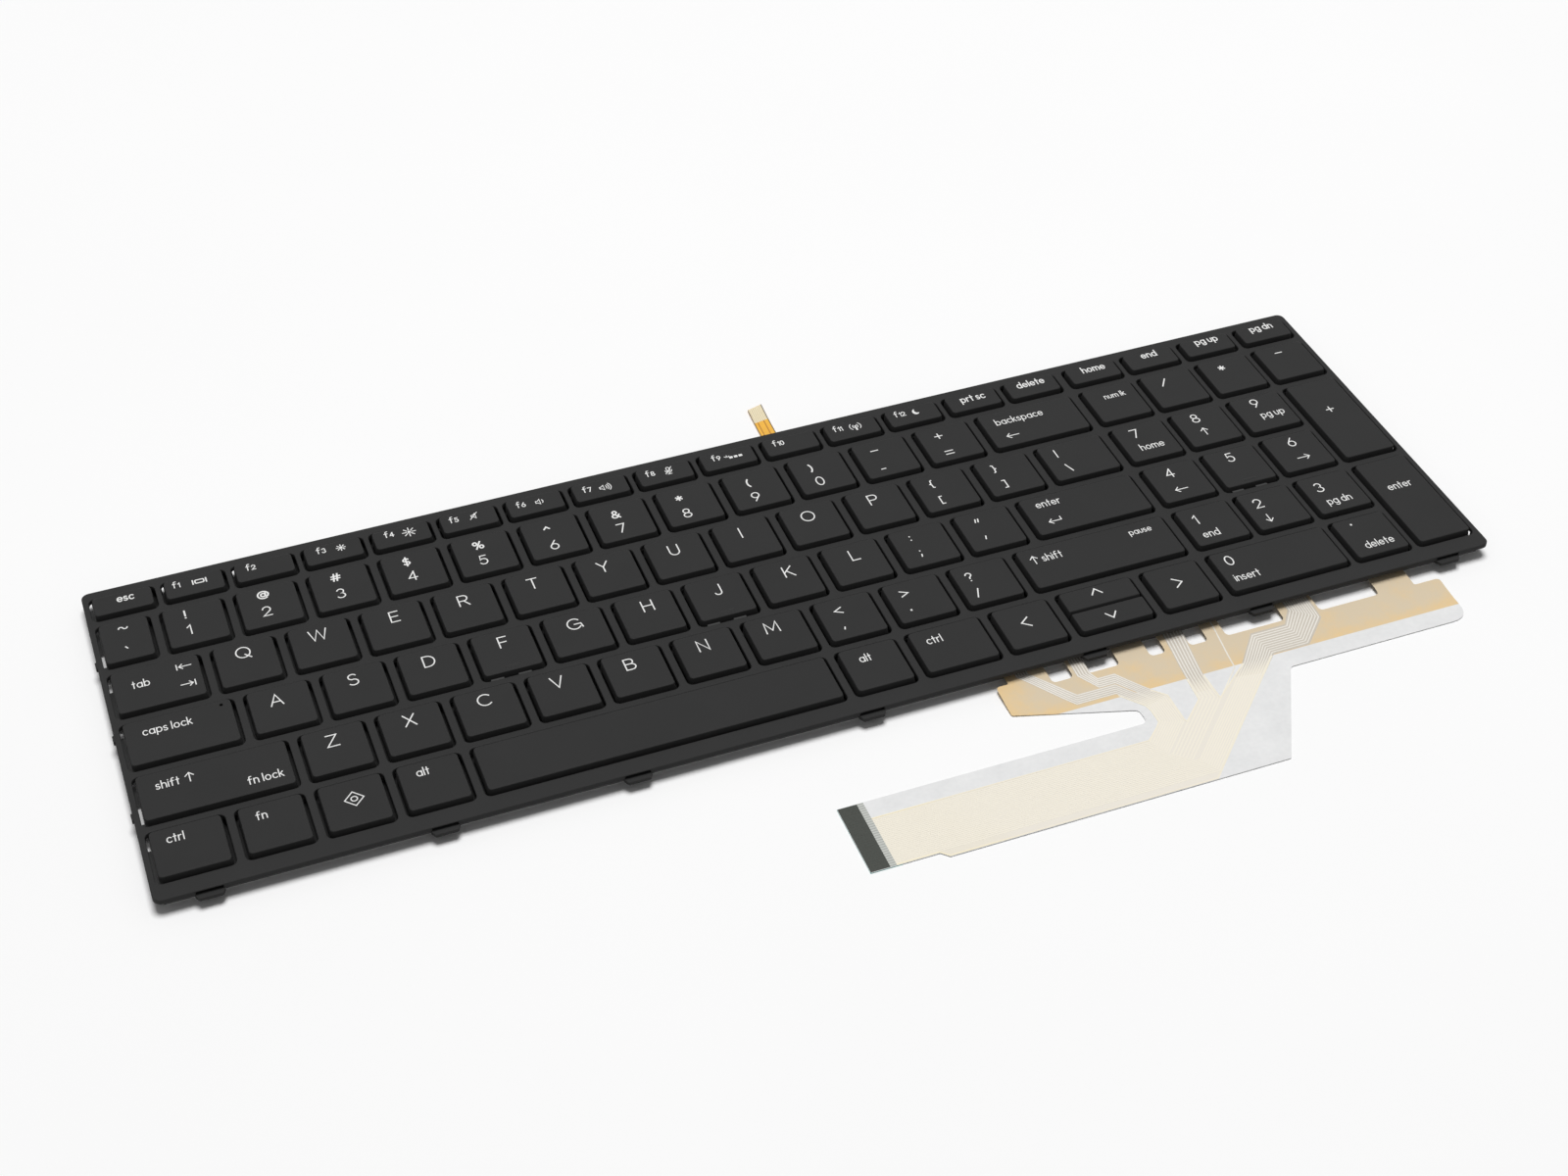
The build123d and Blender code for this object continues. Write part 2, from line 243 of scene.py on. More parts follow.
bezel_high = node_box("bezel")[1]
plate_high = node_box("base_plate")[1]
membrane_low, membrane_high = node_box("membrane_circuit")
flex_low, flex_high = node_box("backlight_flex")
mask_low, mask_high = node_box("light_mask")
frame_right = bezel_high.x
frame_back = bezel_high.y
frame_front = -frame_back
bezel_top = bezel_high.z
bezel_under = bezel_top - bezel_thickness
membrane_top = membrane_high.z
plate_right = plate_high.x
plate_back = plate_high.y
plate_top = plate_high.z
plate_front = frame_front + plate_inset
sheet_front = plate_front + rib_thickness + sheet_clearance
back_rib_runs = ((-plate_right, -153.2), (-152.7, -135.0), (-134.5, plate_right))  # small gaps let light in
front_rib_runs = ((-plate_right, lobe_left - sheet_clearance), (flap_right + sheet_clearance, plate_right))
film_flat_top = membrane_low.z + film_thickness
landing_y = frame_front - landing_depth
cutout_front = frame_front - cutout_depth
arm_back = frame_front - slot_depth - slot_width
tail_front = arm_back - tail_width
film_end = tail_front - shoulder_drop
flex_end = flex_high.y
contact_start = flex_end - contact_length


# Finishes


class Wire:
    """A node's output that takes part in sums: each operator adds a Math node."""

    def __init__(self, finish, socket):
        self.finish = finish
        self.socket = socket

    def math(self, operation, first, second):
        return self.finish.node("ShaderNodeMath", {"operation": operation}, {0: first, 1: second})

    def __add__(self, other):
        return self.math("ADD", self, other)

    def __rsub__(self, other):
        return self.math("SUBTRACT", other, self)

    def __mul__(self, other):
        return self.math("MULTIPLY", self, other)

    def __gt__(self, other):
        return self.math("GREATER_THAN", self, other)

    __radd__ = __add__
    __rmul__ = __mul__


class Finish:
    """A surface finish whose patterns read the piece's own place in millimetres."""

    def __init__(self, name, constants):
        self.material = bpy.data.materials.new(name)
        self.material.use_nodes = True
        tree = self.material.node_tree
        self.nodes = tree.nodes
        self.links = tree.links
        self.surface = self.nodes["Principled BSDF"]
        for socket, value in constants.items():
            self.surface.inputs[socket].default_value = value
        metres = self.node("ShaderNodeTexCoord", output="Object")
        self.place = self.node("ShaderNodeVectorMath", {"operation": "SCALE"}, {0: metres, "Scale": 1 / MM})

    def node(self, kind, settings=None, inputs=None, output=0):
        """Any node: its settings, then the values or wires of its sockets."""
        node = self.nodes.new(kind)
        for setting, value in (settings or {}).items():
            setattr(node, setting, value)
        for socket, value in (inputs or {}).items():
            if isinstance(value, Wire):
                self.links.new(value.socket, node.inputs[socket])
            else:
                node.inputs[socket].default_value = value
        return Wire(self, node.outputs[output])

    def axis(self, name):
        """One coordinate of the place."""
        return self.node("ShaderNodeSeparateXYZ", None, {0: self.place}, name)

    def noise(self, size, detail, stretch=(1, 1, 1)):
        """Soft noise whose blotches are about this size."""
        vector = self.node("ShaderNodeMapping", None, {"Vector": self.place, "Scale": stretch})
        return self.node(
            "ShaderNodeTexNoise", None, {"Vector": vector, "Scale": 1 / size, "Detail": detail}
        )

    def ramp(self, value, low, high):
        """0 below low and 1 above high, eased between them."""
        return self.node(
            "ShaderNodeMapRange",
            {"interpolation_type": "SMOOTHSTEP"},
            {"Value": value, "From Min": low, "From Max": high},
        )

    def blend(self, share, first, second):
        """Two colours, mixed by a share."""
        return self.node("ShaderNodeMix", {"data_type": "RGBA"}, {0: share, 6: first, 7: second}, 2)

    def feed(self, socket, wire):
        self.links.new(wire.socket, self.surface.inputs[socket])

    def relief(self, height, depth, strength):
        """Bump of this depth in millimetres."""
        bump = self.node(
            "ShaderNodeBump", None, {"Strength": strength, "Distance": depth * MM, "Height": height}
        )
        self.feed("Normal", bump)


def grey(value):
    return (value, value, value, 1.0)


def moulded_plastic(name, dark, light, roughness, grain):
    """Matt moulded plastic with a fine spark-eroded grain."""
    finish = Finish(name, {"Specular IOR Level": 0.05})
    cloud = finish.noise(14.0, 3.0)
    speck = finish.noise(grain, 1.0)
    finish.feed("Base Color", finish.blend(cloud * 0.6 + speck * 0.4, dark, light))
    finish.feed("Roughness", roughness - 0.06 + cloud * 0.07 + speck * 0.06)
    finish.relief(speck, 0.012, 0.5)
    return finish.material


def printed_ink():
    """White screen print, a little uneven in gloss."""
    finish = Finish("white_key_ink", {"Base Color": (0.80, 0.80, 0.79, 1.0)})
    grain = finish.noise(0.25, 2.0)
    finish.feed("Roughness", 0.45 + grain * 0.2)
    finish.relief(grain, 0.004, 0.4)
    return finish.material


def circuit_film():
    """Membrane film: near-black under the keys as painted shade, amber near the frame and milky beyond."""
    finish = Finish("circuit_film", {"Specular IOR Level": 0.15})
    along = finish.axis("X")
    across = finish.axis("Y")
    cloud = finish.noise(9.0, 4.0)
    haze = finish.noise(1.3, 3.0)
    border = 1 - finish.ramp(across, film_tint_end, film_tint_end + 4.5)
    lobe = 1 - finish.ramp(along, lobe_left, lobe_left + 14.0)
    gold = finish.ramp(cloud * 1.2 + haze * 0.35 + border * 0.32 + lobe * 0.36, 0.62, 1.35)
    amber = finish.blend(gold, (0.69, 0.58, 0.42, 1.0), (0.79, 0.58, 0.31, 1.0))
    milky = finish.blend(haze * 0.4 + cloud * 0.6, (0.68, 0.685, 0.69, 1.0), (0.90, 0.90, 0.895, 1.0))
    tinted = finish.blend(finish.ramp(across, film_tint_end - 0.12, film_tint_end + 0.12), milky, amber)
    # Painted shade: the film goes near-black under the keys, so the gaps between them look dark
    black = finish.blend(haze, grey(0.008), grey(0.014))
    finish.feed("Base Color", finish.blend(across > plate_front - gap_shade_reach, tinted, black))
    finish.feed("Roughness", 0.32 + haze * 0.18)
    finish.relief(cloud, 0.05, 0.35)
    return finish.material


def lacquer(name, warm_dark, warm_light, roughness):
    """Cream insulating lacquer, warmer towards the contact end."""
    finish = Finish(name, {"Specular IOR Level": 0.15})
    along = finish.axis("X")
    across = finish.axis("Y")
    cloud = finish.noise(6.0, 3.0)
    grain = finish.noise(0.6, 2.0)
    cool = finish.ramp(along + across * 0.7, -62.0, -50.0)
    warm = finish.blend(cloud * 0.6 + grain * 0.4, warm_dark, warm_light)
    finish.feed("Base Color", finish.blend(cool * 0.5, warm, (0.84, 0.80, 0.735, 1.0)))
    finish.feed("Roughness", roughness + cloud * 0.14)
    finish.relief(cloud, 0.02, 0.4)
    return finish.material


def fading_print(name, silver_dark, silver_light, covered):
    """Silver printed near the frame that goes under the cream lacquer farther out."""
    finish = Finish(name, {"Specular IOR Level": 0.2})
    across = finish.axis("Y")
    grain = finish.noise(0.5, 3.0)
    bare = finish.ramp(across, fade_end, fade_start)
    silver_tone = finish.blend(grain, silver_dark, silver_light)
    finish.feed("Base Color", finish.blend(bare, covered, silver_tone))
    finish.feed("Roughness", 0.34 + grain * 0.2)
    finish.feed("Metallic", bare * 0.12)
    finish.relief(grain, 0.006, 0.5)
    return finish.material


def carbon_print():
    """Greenish-black carbon over the contact fingers."""
    finish = Finish("carbon_contacts", {"Specular IOR Level": 0.2})
    grain = finish.noise(0.4, 3.0)
    finish.feed("Base Color", finish.blend(grain, (0.034, 0.038, 0.032, 1.0), (0.072, 0.077, 0.068, 1.0)))
    finish.feed("Roughness", 0.45 + grain * 0.2)
    finish.relief(grain, 0.008, 0.5)
    return finish.material


def amber_flex():
    """Polyimide flex: clear amber with darker sides."""
    finish = Finish("amber_flex", {"Specular IOR Level": 0.5, "Coat Weight": 0.15})
    cloud = finish.noise(2.5, 3.0)
    finish.feed("Base Color", finish.blend(cloud, (0.80, 0.40, 0.024, 1.0), (0.92, 0.50, 0.036, 1.0)))
    finish.feed("Roughness", 0.22 + cloud * 0.16)
    finish.relief(cloud, 0.02, 0.4)
    return finish.material


def bare_metal(name, dark, light, roughness, direction):
    """Rolled sheet or plated metal with a grain along one direction."""
    finish = Finish(name, {"Metallic": 0.9})
    grain = finish.noise(0.35, 3.0, direction)
    cloud = finish.noise(20.0, 2.0)
    finish.feed("Base Color", finish.blend(grain * 0.6 + cloud * 0.4, dark, light))
    finish.feed("Roughness", roughness + grain * 0.15)
    finish.relief(grain, 0.006, 0.4)
    return finish.material


def plain_film(name, dark, light, roughness):
    """Sheet plastic with faint clouds and waves."""
    finish = Finish(name, {"Specular IOR Level": 0.45})
    cloud = finish.noise(18.0, 3.0)
    haze = finish.noise(1.5, 2.0)
    finish.feed("Base Color", finish.blend(cloud * 0.6 + haze * 0.4, dark, light))
    finish.feed("Roughness", roughness + haze * 0.14)
    finish.relief(cloud, 0.04, 0.35)
    return finish.material


key_plastic = moulded_plastic("key_plastic", grey(0.0270), grey(0.0345), 0.50, 0.22)
frame_plastic = moulded_plastic("frame_plastic", grey(0.0280), grey(0.0365), 0.54, 0.30)
# Lighter tab plastic: its tone is a painted glint in the homing keys' gaps
painted_glint_tab_plastic = moulded_plastic("painted_glint_tab_plastic", grey(0.055), grey(0.075), 0.40, 0.30)
# Links in dark plastic; the darkness is painted shade that keeps the gaps under the keys dark
link_plastic_painted_shade = moulded_plastic("link_plastic_painted_shade", grey(0.030), grey(0.045), 0.45, 0.30)
key_ink = printed_ink()
circuit = circuit_film()
cream = lacquer("cream_lacquer", (0.80, 0.75, 0.645, 1.0), (0.86, 0.81, 0.70, 1.0), 0.36)
cream_rim = lacquer("cream_rim", (0.90, 0.82, 0.60, 1.0), (0.94, 0.86, 0.66, 1.0), 0.36)
silver = fading_print(
    "silver_lines", (0.72, 0.69, 0.63, 1.0), (0.80, 0.77, 0.71, 1.0), (0.885, 0.835, 0.72, 1.0)
)
between_lines = fading_print(
    "between_lines", (0.52, 0.475, 0.41, 1.0), (0.60, 0.55, 0.475, 1.0), (0.80, 0.745, 0.64, 1.0)
)
hatch_grey = plain_film("contact_hatch", (0.48, 0.495, 0.465, 1.0), (0.54, 0.555, 0.52, 1.0), 0.42)
hatch_line = plain_film("contact_hatch_line", (0.33, 0.34, 0.32, 1.0), (0.38, 0.39, 0.365, 1.0), 0.42)
carbon = carbon_print()
flex_film = amber_flex()
contact_tin = plain_film("contact_tin", (0.56, 0.43, 0.20, 1.0), (0.66, 0.52, 0.27, 1.0), 0.30)
flex_copper = plain_film("covered_copper", (0.42, 0.17, 0.012, 1.0), (0.52, 0.22, 0.016, 1.0), 0.28)
flex_cream = plain_film("flex_contact_film", (0.84, 0.76, 0.55, 1.0), (0.90, 0.82, 0.62, 1.0), 0.32)
# Near-black strips laid along the flex's two edges
flex_side = plain_film("flex_dark_edge", (0.030, 0.022, 0.012, 1.0), (0.050, 0.036, 0.020, 1.0), 0.40)
# Dark base plate steel; its darkness is painted shade for the gaps between keys
plate_steel_painted_shade = bare_metal("plate_steel_painted_shade", grey(0.10), grey(0.17), 0.36, (0.08, 1.6, 1))
mask_film = plain_film("black_mask_film", grey(0.012), grey(0.022), 0.42)
guide_sheet = plain_film("light_guide_sheet", grey(0.62), grey(0.74), 0.12)
reflector = plain_film("white_reflector", grey(0.74), grey(0.82), 0.36)
stiffener = plain_film("stiffener_film", (0.045, 0.30, 0.28, 1.0), (0.065, 0.37, 0.34, 1.0), 0.34)
silicone = plain_film("dome_silicone", grey(0.55), grey(0.66), 0.45)


# Mesh tools

same_place = 0.001  # points nearer than this are one
mitre_limit = 0.5  # keeps the sharp corners of a line short


def rounded(left, front, right, back, radius, steps=6, front_radius=None, back_radius=None):
    """Points of a rounded rectangle, anticlockwise from the end of its front edge."""
    near = radius if front_radius is None else front_radius
    far = radius if back_radius is None else back_radius
    centres = (
        (right - near, front + near, near, -90),
        (right - far, back - far, far, 0),
        (left + far, back - far, far, 90),
        (left + near, front + near, near, 180),
    )
    points = []
    for x, y, radius, start in centres:
        for step in range(steps + 1):
            angle = radians(start + 90 * step / steps)
            points.append((x + radius * cos(angle), y + radius * sin(angle)))
    return points


def rounded_outline(corners, steps=6):
    """Points of a closed outline of (x, y, radius) corners."""
    points = []
    for place, (x, y, radius) in enumerate(corners):
        here = Vector((x, y))
        before = Vector(corners[place - 1][:2]) - here
        after = Vector(corners[(place + 1) % len(corners)][:2]) - here
        if radius == 0:
            points.append((x, y))
            continue
        reach = radius / tan(before.angle(after) / 2)
        start = here + before.normalized() * reach
        end = here + after.normalized() * reach
        for step in range(steps + 1):
            share = step / steps
            point = start.lerp(here, share).lerp(here.lerp(end, share), share)
            points.append((point.x, point.y))
    return points


def ring(mesh, outline, height):
    return [mesh.verts.new((x, y, height)) for x, y in outline]


def wall(mesh, lower, upper):
    """Faces between two rings with as many points."""
    for place in range(len(lower)):
        mesh.faces.new((lower[place - 1], lower[place], upper[place], upper[place - 1]))


def fill(mesh, *rings):
    """Flat faces inside the first ring and outside the others."""
    edges = []
    for points in rings:
        for place in range(len(points)):
            pair = (points[place - 1], points[place])
            edges.append(mesh.edges.get(pair) or mesh.edges.new(pair))
    bmesh.ops.triangle_fill(mesh, use_beauty=True, edges=edges)


def prism(mesh, outline, low, high):
    """A closed straight-sided solid on an outline."""
    lower = ring(mesh, outline, low)
    upper = ring(mesh, outline, high)
    wall(mesh, lower, upper)
    mesh.faces.new(reversed(lower))
    mesh.faces.new(upper)


def block(mesh, left, front, right, back, low, high):
    prism(mesh, [(left, front), (right, front), (right, back), (left, back)], low, high)


def stroke(mesh, points, width, low, high, square_ends=True):
    """A flat line of one width along points, closed where its ends meet."""
    path = [Vector(points[0])]
    for point in points[1:]:
        if (Vector(point) - path[-1]).length > same_place:
            path.append(Vector(point))
    closed = (path[0] - path[-1]).length < same_place
    if closed:
        path.pop()
    elif square_ends:
        path[0] = path[0] + (path[0] - path[1]).normalized() * width / 2
        path[-1] = path[-1] + (path[-1] - path[-2]).normalized() * width / 2
    sections = []
    for place, point in enumerate(path):
        before = path[place - 1]
        after = path[(place + 1) % len(path)]
        if not closed and place == 0:
            before = point - (after - point)
        if not closed and place == len(path) - 1:
            after = point + (point - before)
        came = (point - before).normalized()
        goes = (after - point).normalized()
        side = Vector((-came.y - goes.y, came.x + goes.x)).normalized()
        reach = width / 2 / max(side.dot(Vector((-came.y, came.x))), mitre_limit)
        left = point + side * reach
        right = point - side * reach
        corners = ((left, low), (right, low), (right, high), (left, high))
        sections.append([mesh.verts.new((corner.x, corner.y, height)) for corner, height in corners])
    for place in range(0 if closed else 1, len(sections)):
        wall(mesh, sections[place - 1], sections[place])
    if not closed:
        mesh.faces.new(sections[0])
        mesh.faces.new(reversed(sections[-1]))


def finish_mesh(name, mesh, material, smooth=30):
    """Turns a mesh in millimetres into plain mesh data in metres."""
    bmesh.ops.recalc_face_normals(mesh, faces=mesh.faces)
    bmesh.ops.scale(mesh, vec=(MM, MM, MM), verts=mesh.verts)
    data = bpy.data.meshes.new(name)
    mesh.to_mesh(data)
    mesh.free()
    data.materials.append(material)
    data.shade_smooth()
    data.set_sharp_from_angle(angle=radians(smooth))
    return data


def place_piece(name, data, body):
    """An object that rides on a body, in the finish its mesh holds."""
    piece = bpy.data.objects.new(name, data)
    bpy.context.scene.collection.objects.link(piece)
    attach(piece, body)
    return piece


def frame_piece(name, mesh, material, smooth=30):
    """A piece on the frame, made of a mesh in millimetres."""
    return place_piece(name, finish_mesh(name, mesh, material, smooth), ROOT)


def baked(name, data, modify):
    """The mesh that modifiers make of a mesh."""
    maker = bpy.data.objects.new(name, data)
    bpy.context.scene.collection.objects.link(maker)
    modify(maker)
    bpy.context.view_layer.update()
    result = bpy.data.meshes.new_from_object(maker.evaluated_get(bpy.context.evaluated_depsgraph_get()))
    bpy.data.objects.remove(maker)
    result.name = name
    return result


# Keys

Key = namedtuple("Key", "name body left front right back")

group_names = {
    "function_row_keys": "esc f1 f2 f3 f4 f5 f6 f7 f8 f9 f10 f11 f12 print delete home end page_up page_down",
    "number_pad_keys": (
        "num_lock divide multiply subtract pad_7 pad_8 pad_9 add pad_4 pad_5 pad_6"
        " pad_1 pad_2 pad_3 pad_enter pad_0 decimal"
    ),
    "symbol_keys": (
        "grave minus equals left_bracket right_bracket backslash semicolon quote comma period slash"
    ),
    "modifier_keys": "left_ctrl fn system left_alt right_alt right_ctrl",
}


def solid_boxes(node):
    """Boxes of a node's separate solids, row by row from the back."""
    mesh = bmesh.new()
    mesh.from_mesh(frame["nodes"][node].data)
    bmesh.ops.remove_doubles(mesh, verts=mesh.verts, dist=same_place * MM)
    seen = set()
    boxes = []
    for first in mesh.verts:
        if first in seen:
            continue
        seen.add(first)
        solid = [first]
        for vertex in solid:
            for edge in vertex.link_edges:
                other = edge.other_vert(vertex)
                if other not in seen:
                    seen.add(other)
                    solid.append(other)
        xs = [vertex.co.x / MM for vertex in solid]
        ys = [vertex.co.y / MM for vertex in solid]
        boxes.append((min(xs), min(ys), max(xs), max(ys)))
    mesh.free()
    return sorted(boxes, key=lambda box: (-round(box[3]), box[0]))


def is_shallow(key):
    """Whether a key has half the usual height."""
    return key.back - key.front < shallow_depth


def key_from_box(name, body, left, front, right, back):
    return Key(name, body, left + key_draft, front + key_draft, right - key_draft, back - key_draft)


moving_keys = []
for body in frame["bodies"]:
    if body.startswith("key_"):
        low, high = node_box(body)
        moving_keys.append(key_from_box(body[len("key_"):], body, low.x, low.y, high.x, high.y))
fixed_groups = {}
for node, names in group_names.items():
    boxes = solid_boxes(node)
    fixed_groups[node] = [key_from_box(name, ROOT, *box) for name, box in zip(names.split(), boxes)]
all_keys = moving_keys + [key for group in fixed_groups.values() for key in group]
key_foot = node_box("key_q")[0].z
key_top = node_box("key_q")[1].z


def cap_outline(key, inset, radius, lip=0.0):
    """A key's outline; the two half-height arrow keys meet with sharper corners."""
    near = meeting_corner if key.name == "up" else radius
    far = meeting_corner if key.name == "down" else radius
    return rounded(
        key.left + inset, key.front + inset + lip, key.right - inset, key.back - inset, radius,
        front_radius=near, back_radius=far,
    )


def indicator_hole(key):
    """Points round the light hole of the caps lock key."""
    x = key.right - indicator_from_right
    y = key.back - indicator_from_back
    angles = [2 * pi * step / indicator_points for step in range(indicator_points)]
    return [(x + indicator_radius * cos(angle), y + indicator_radius * sin(angle)) for angle in angles]


def homing_bar(mesh, key):
    """A low rounded bar near the front of a key's top."""
    x = (key.left + key.right) / 2
    y = key.front + homing_from_front
    rings = []
    for grown, height in homing_rings:
        outline = rounded(
            x - homing_length / 2 - grown, y - homing_width / 2 - grown,
            x + homing_length / 2 + grown, y + homing_width / 2 + grown,
            homing_width / 2 + grown - homing_slack,
        )
        rings.append(ring(mesh, outline, key_top + height))
    for lower, upper in zip(rings, rings[1:]):
        wall(mesh, lower, upper)
    mesh.faces.new(rings[-1])
    mesh.faces.new(reversed(rings[0]))


def key_cap(mesh, key):
    """A hollow cap with drafted walls and a rounded edge round its top."""
    lip = up_key_lip if key.name == "up" else 0.0
    height = key_top - key_foot
    outer = [ring(mesh, cap_outline(key, -key_draft, key_corner + key_draft), key_foot)]
    for step in range(key_edge_steps + 1):
        angle = radians(90 * step / key_edge_steps)
        drop = key_edge * (1 - sin(angle))
        inset = key_edge * (1 - cos(angle)) - key_draft * drop / height
        slope = lip * (1 - cos(angle))
        corner = key_corner - inset * corner_tightening
        outer.append(ring(mesh, cap_outline(key, inset, corner, slope), key_top - drop))
    corner = key_corner - key_edge * corner_tightening
    flat = ring(mesh, cap_outline(key, key_edge + key_land, corner, lip), key_top)
    outer.append(flat)
    for lower, upper in zip(outer, outer[1:]):
        wall(mesh, lower, upper)
    hollow = cap_outline(key, key_wall, hollow_corner)
    inner_low = ring(mesh, hollow, key_foot)
    inner_high = ring(mesh, hollow, key_top - key_roof)
    wall(mesh, inner_low, outer[0])
    wall(mesh, inner_high, inner_low)
    if key.name == "caps_lock":
        hole = indicator_hole(key)
        hole_high = ring(mesh, hole, key_top)
        hole_low = ring(mesh, hole, key_top - key_roof)
        wall(mesh, hole_low, hole_high)
        fill(mesh, flat, hole_high)
        fill(mesh, inner_high, hole_low)
    else:
        mesh.faces.new(flat)
        mesh.faces.new(inner_high)
    if key.name in homing_keys:
        homing_bar(mesh, key)


for key in moving_keys:
    mesh = bmesh.new()
    key_cap(mesh, key)
    cap = place_piece(f"cap_{key.name}", finish_mesh("cap", mesh, key_plastic, 50), key.body)
    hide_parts(key.body)
for node, group in fixed_groups.items():
    mesh = bmesh.new()
    for key in group:
        key_cap(mesh, key)
    caps = place_piece(f"caps_{node}", finish_mesh("caps", mesh, key_plastic, 50), ROOT)
    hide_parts(node)


# Lettering: each sign is a list of lines in its own units, a capital being 1 high


def arc(x, y, wide, high, start, end):
    """Points along an ellipse from one angle to another, in degrees."""
    steps = max(3, round(abs(end - start) / 18))
    angles = [radians(start + (end - start) * step / steps) for step in range(steps + 1)]
    return [(x + wide * cos(angle), y + high * sin(angle)) for angle in angles]


bowl = arc(0.27, 0.32, 0.27, 0.32, 0, 360)  # round part of small letters

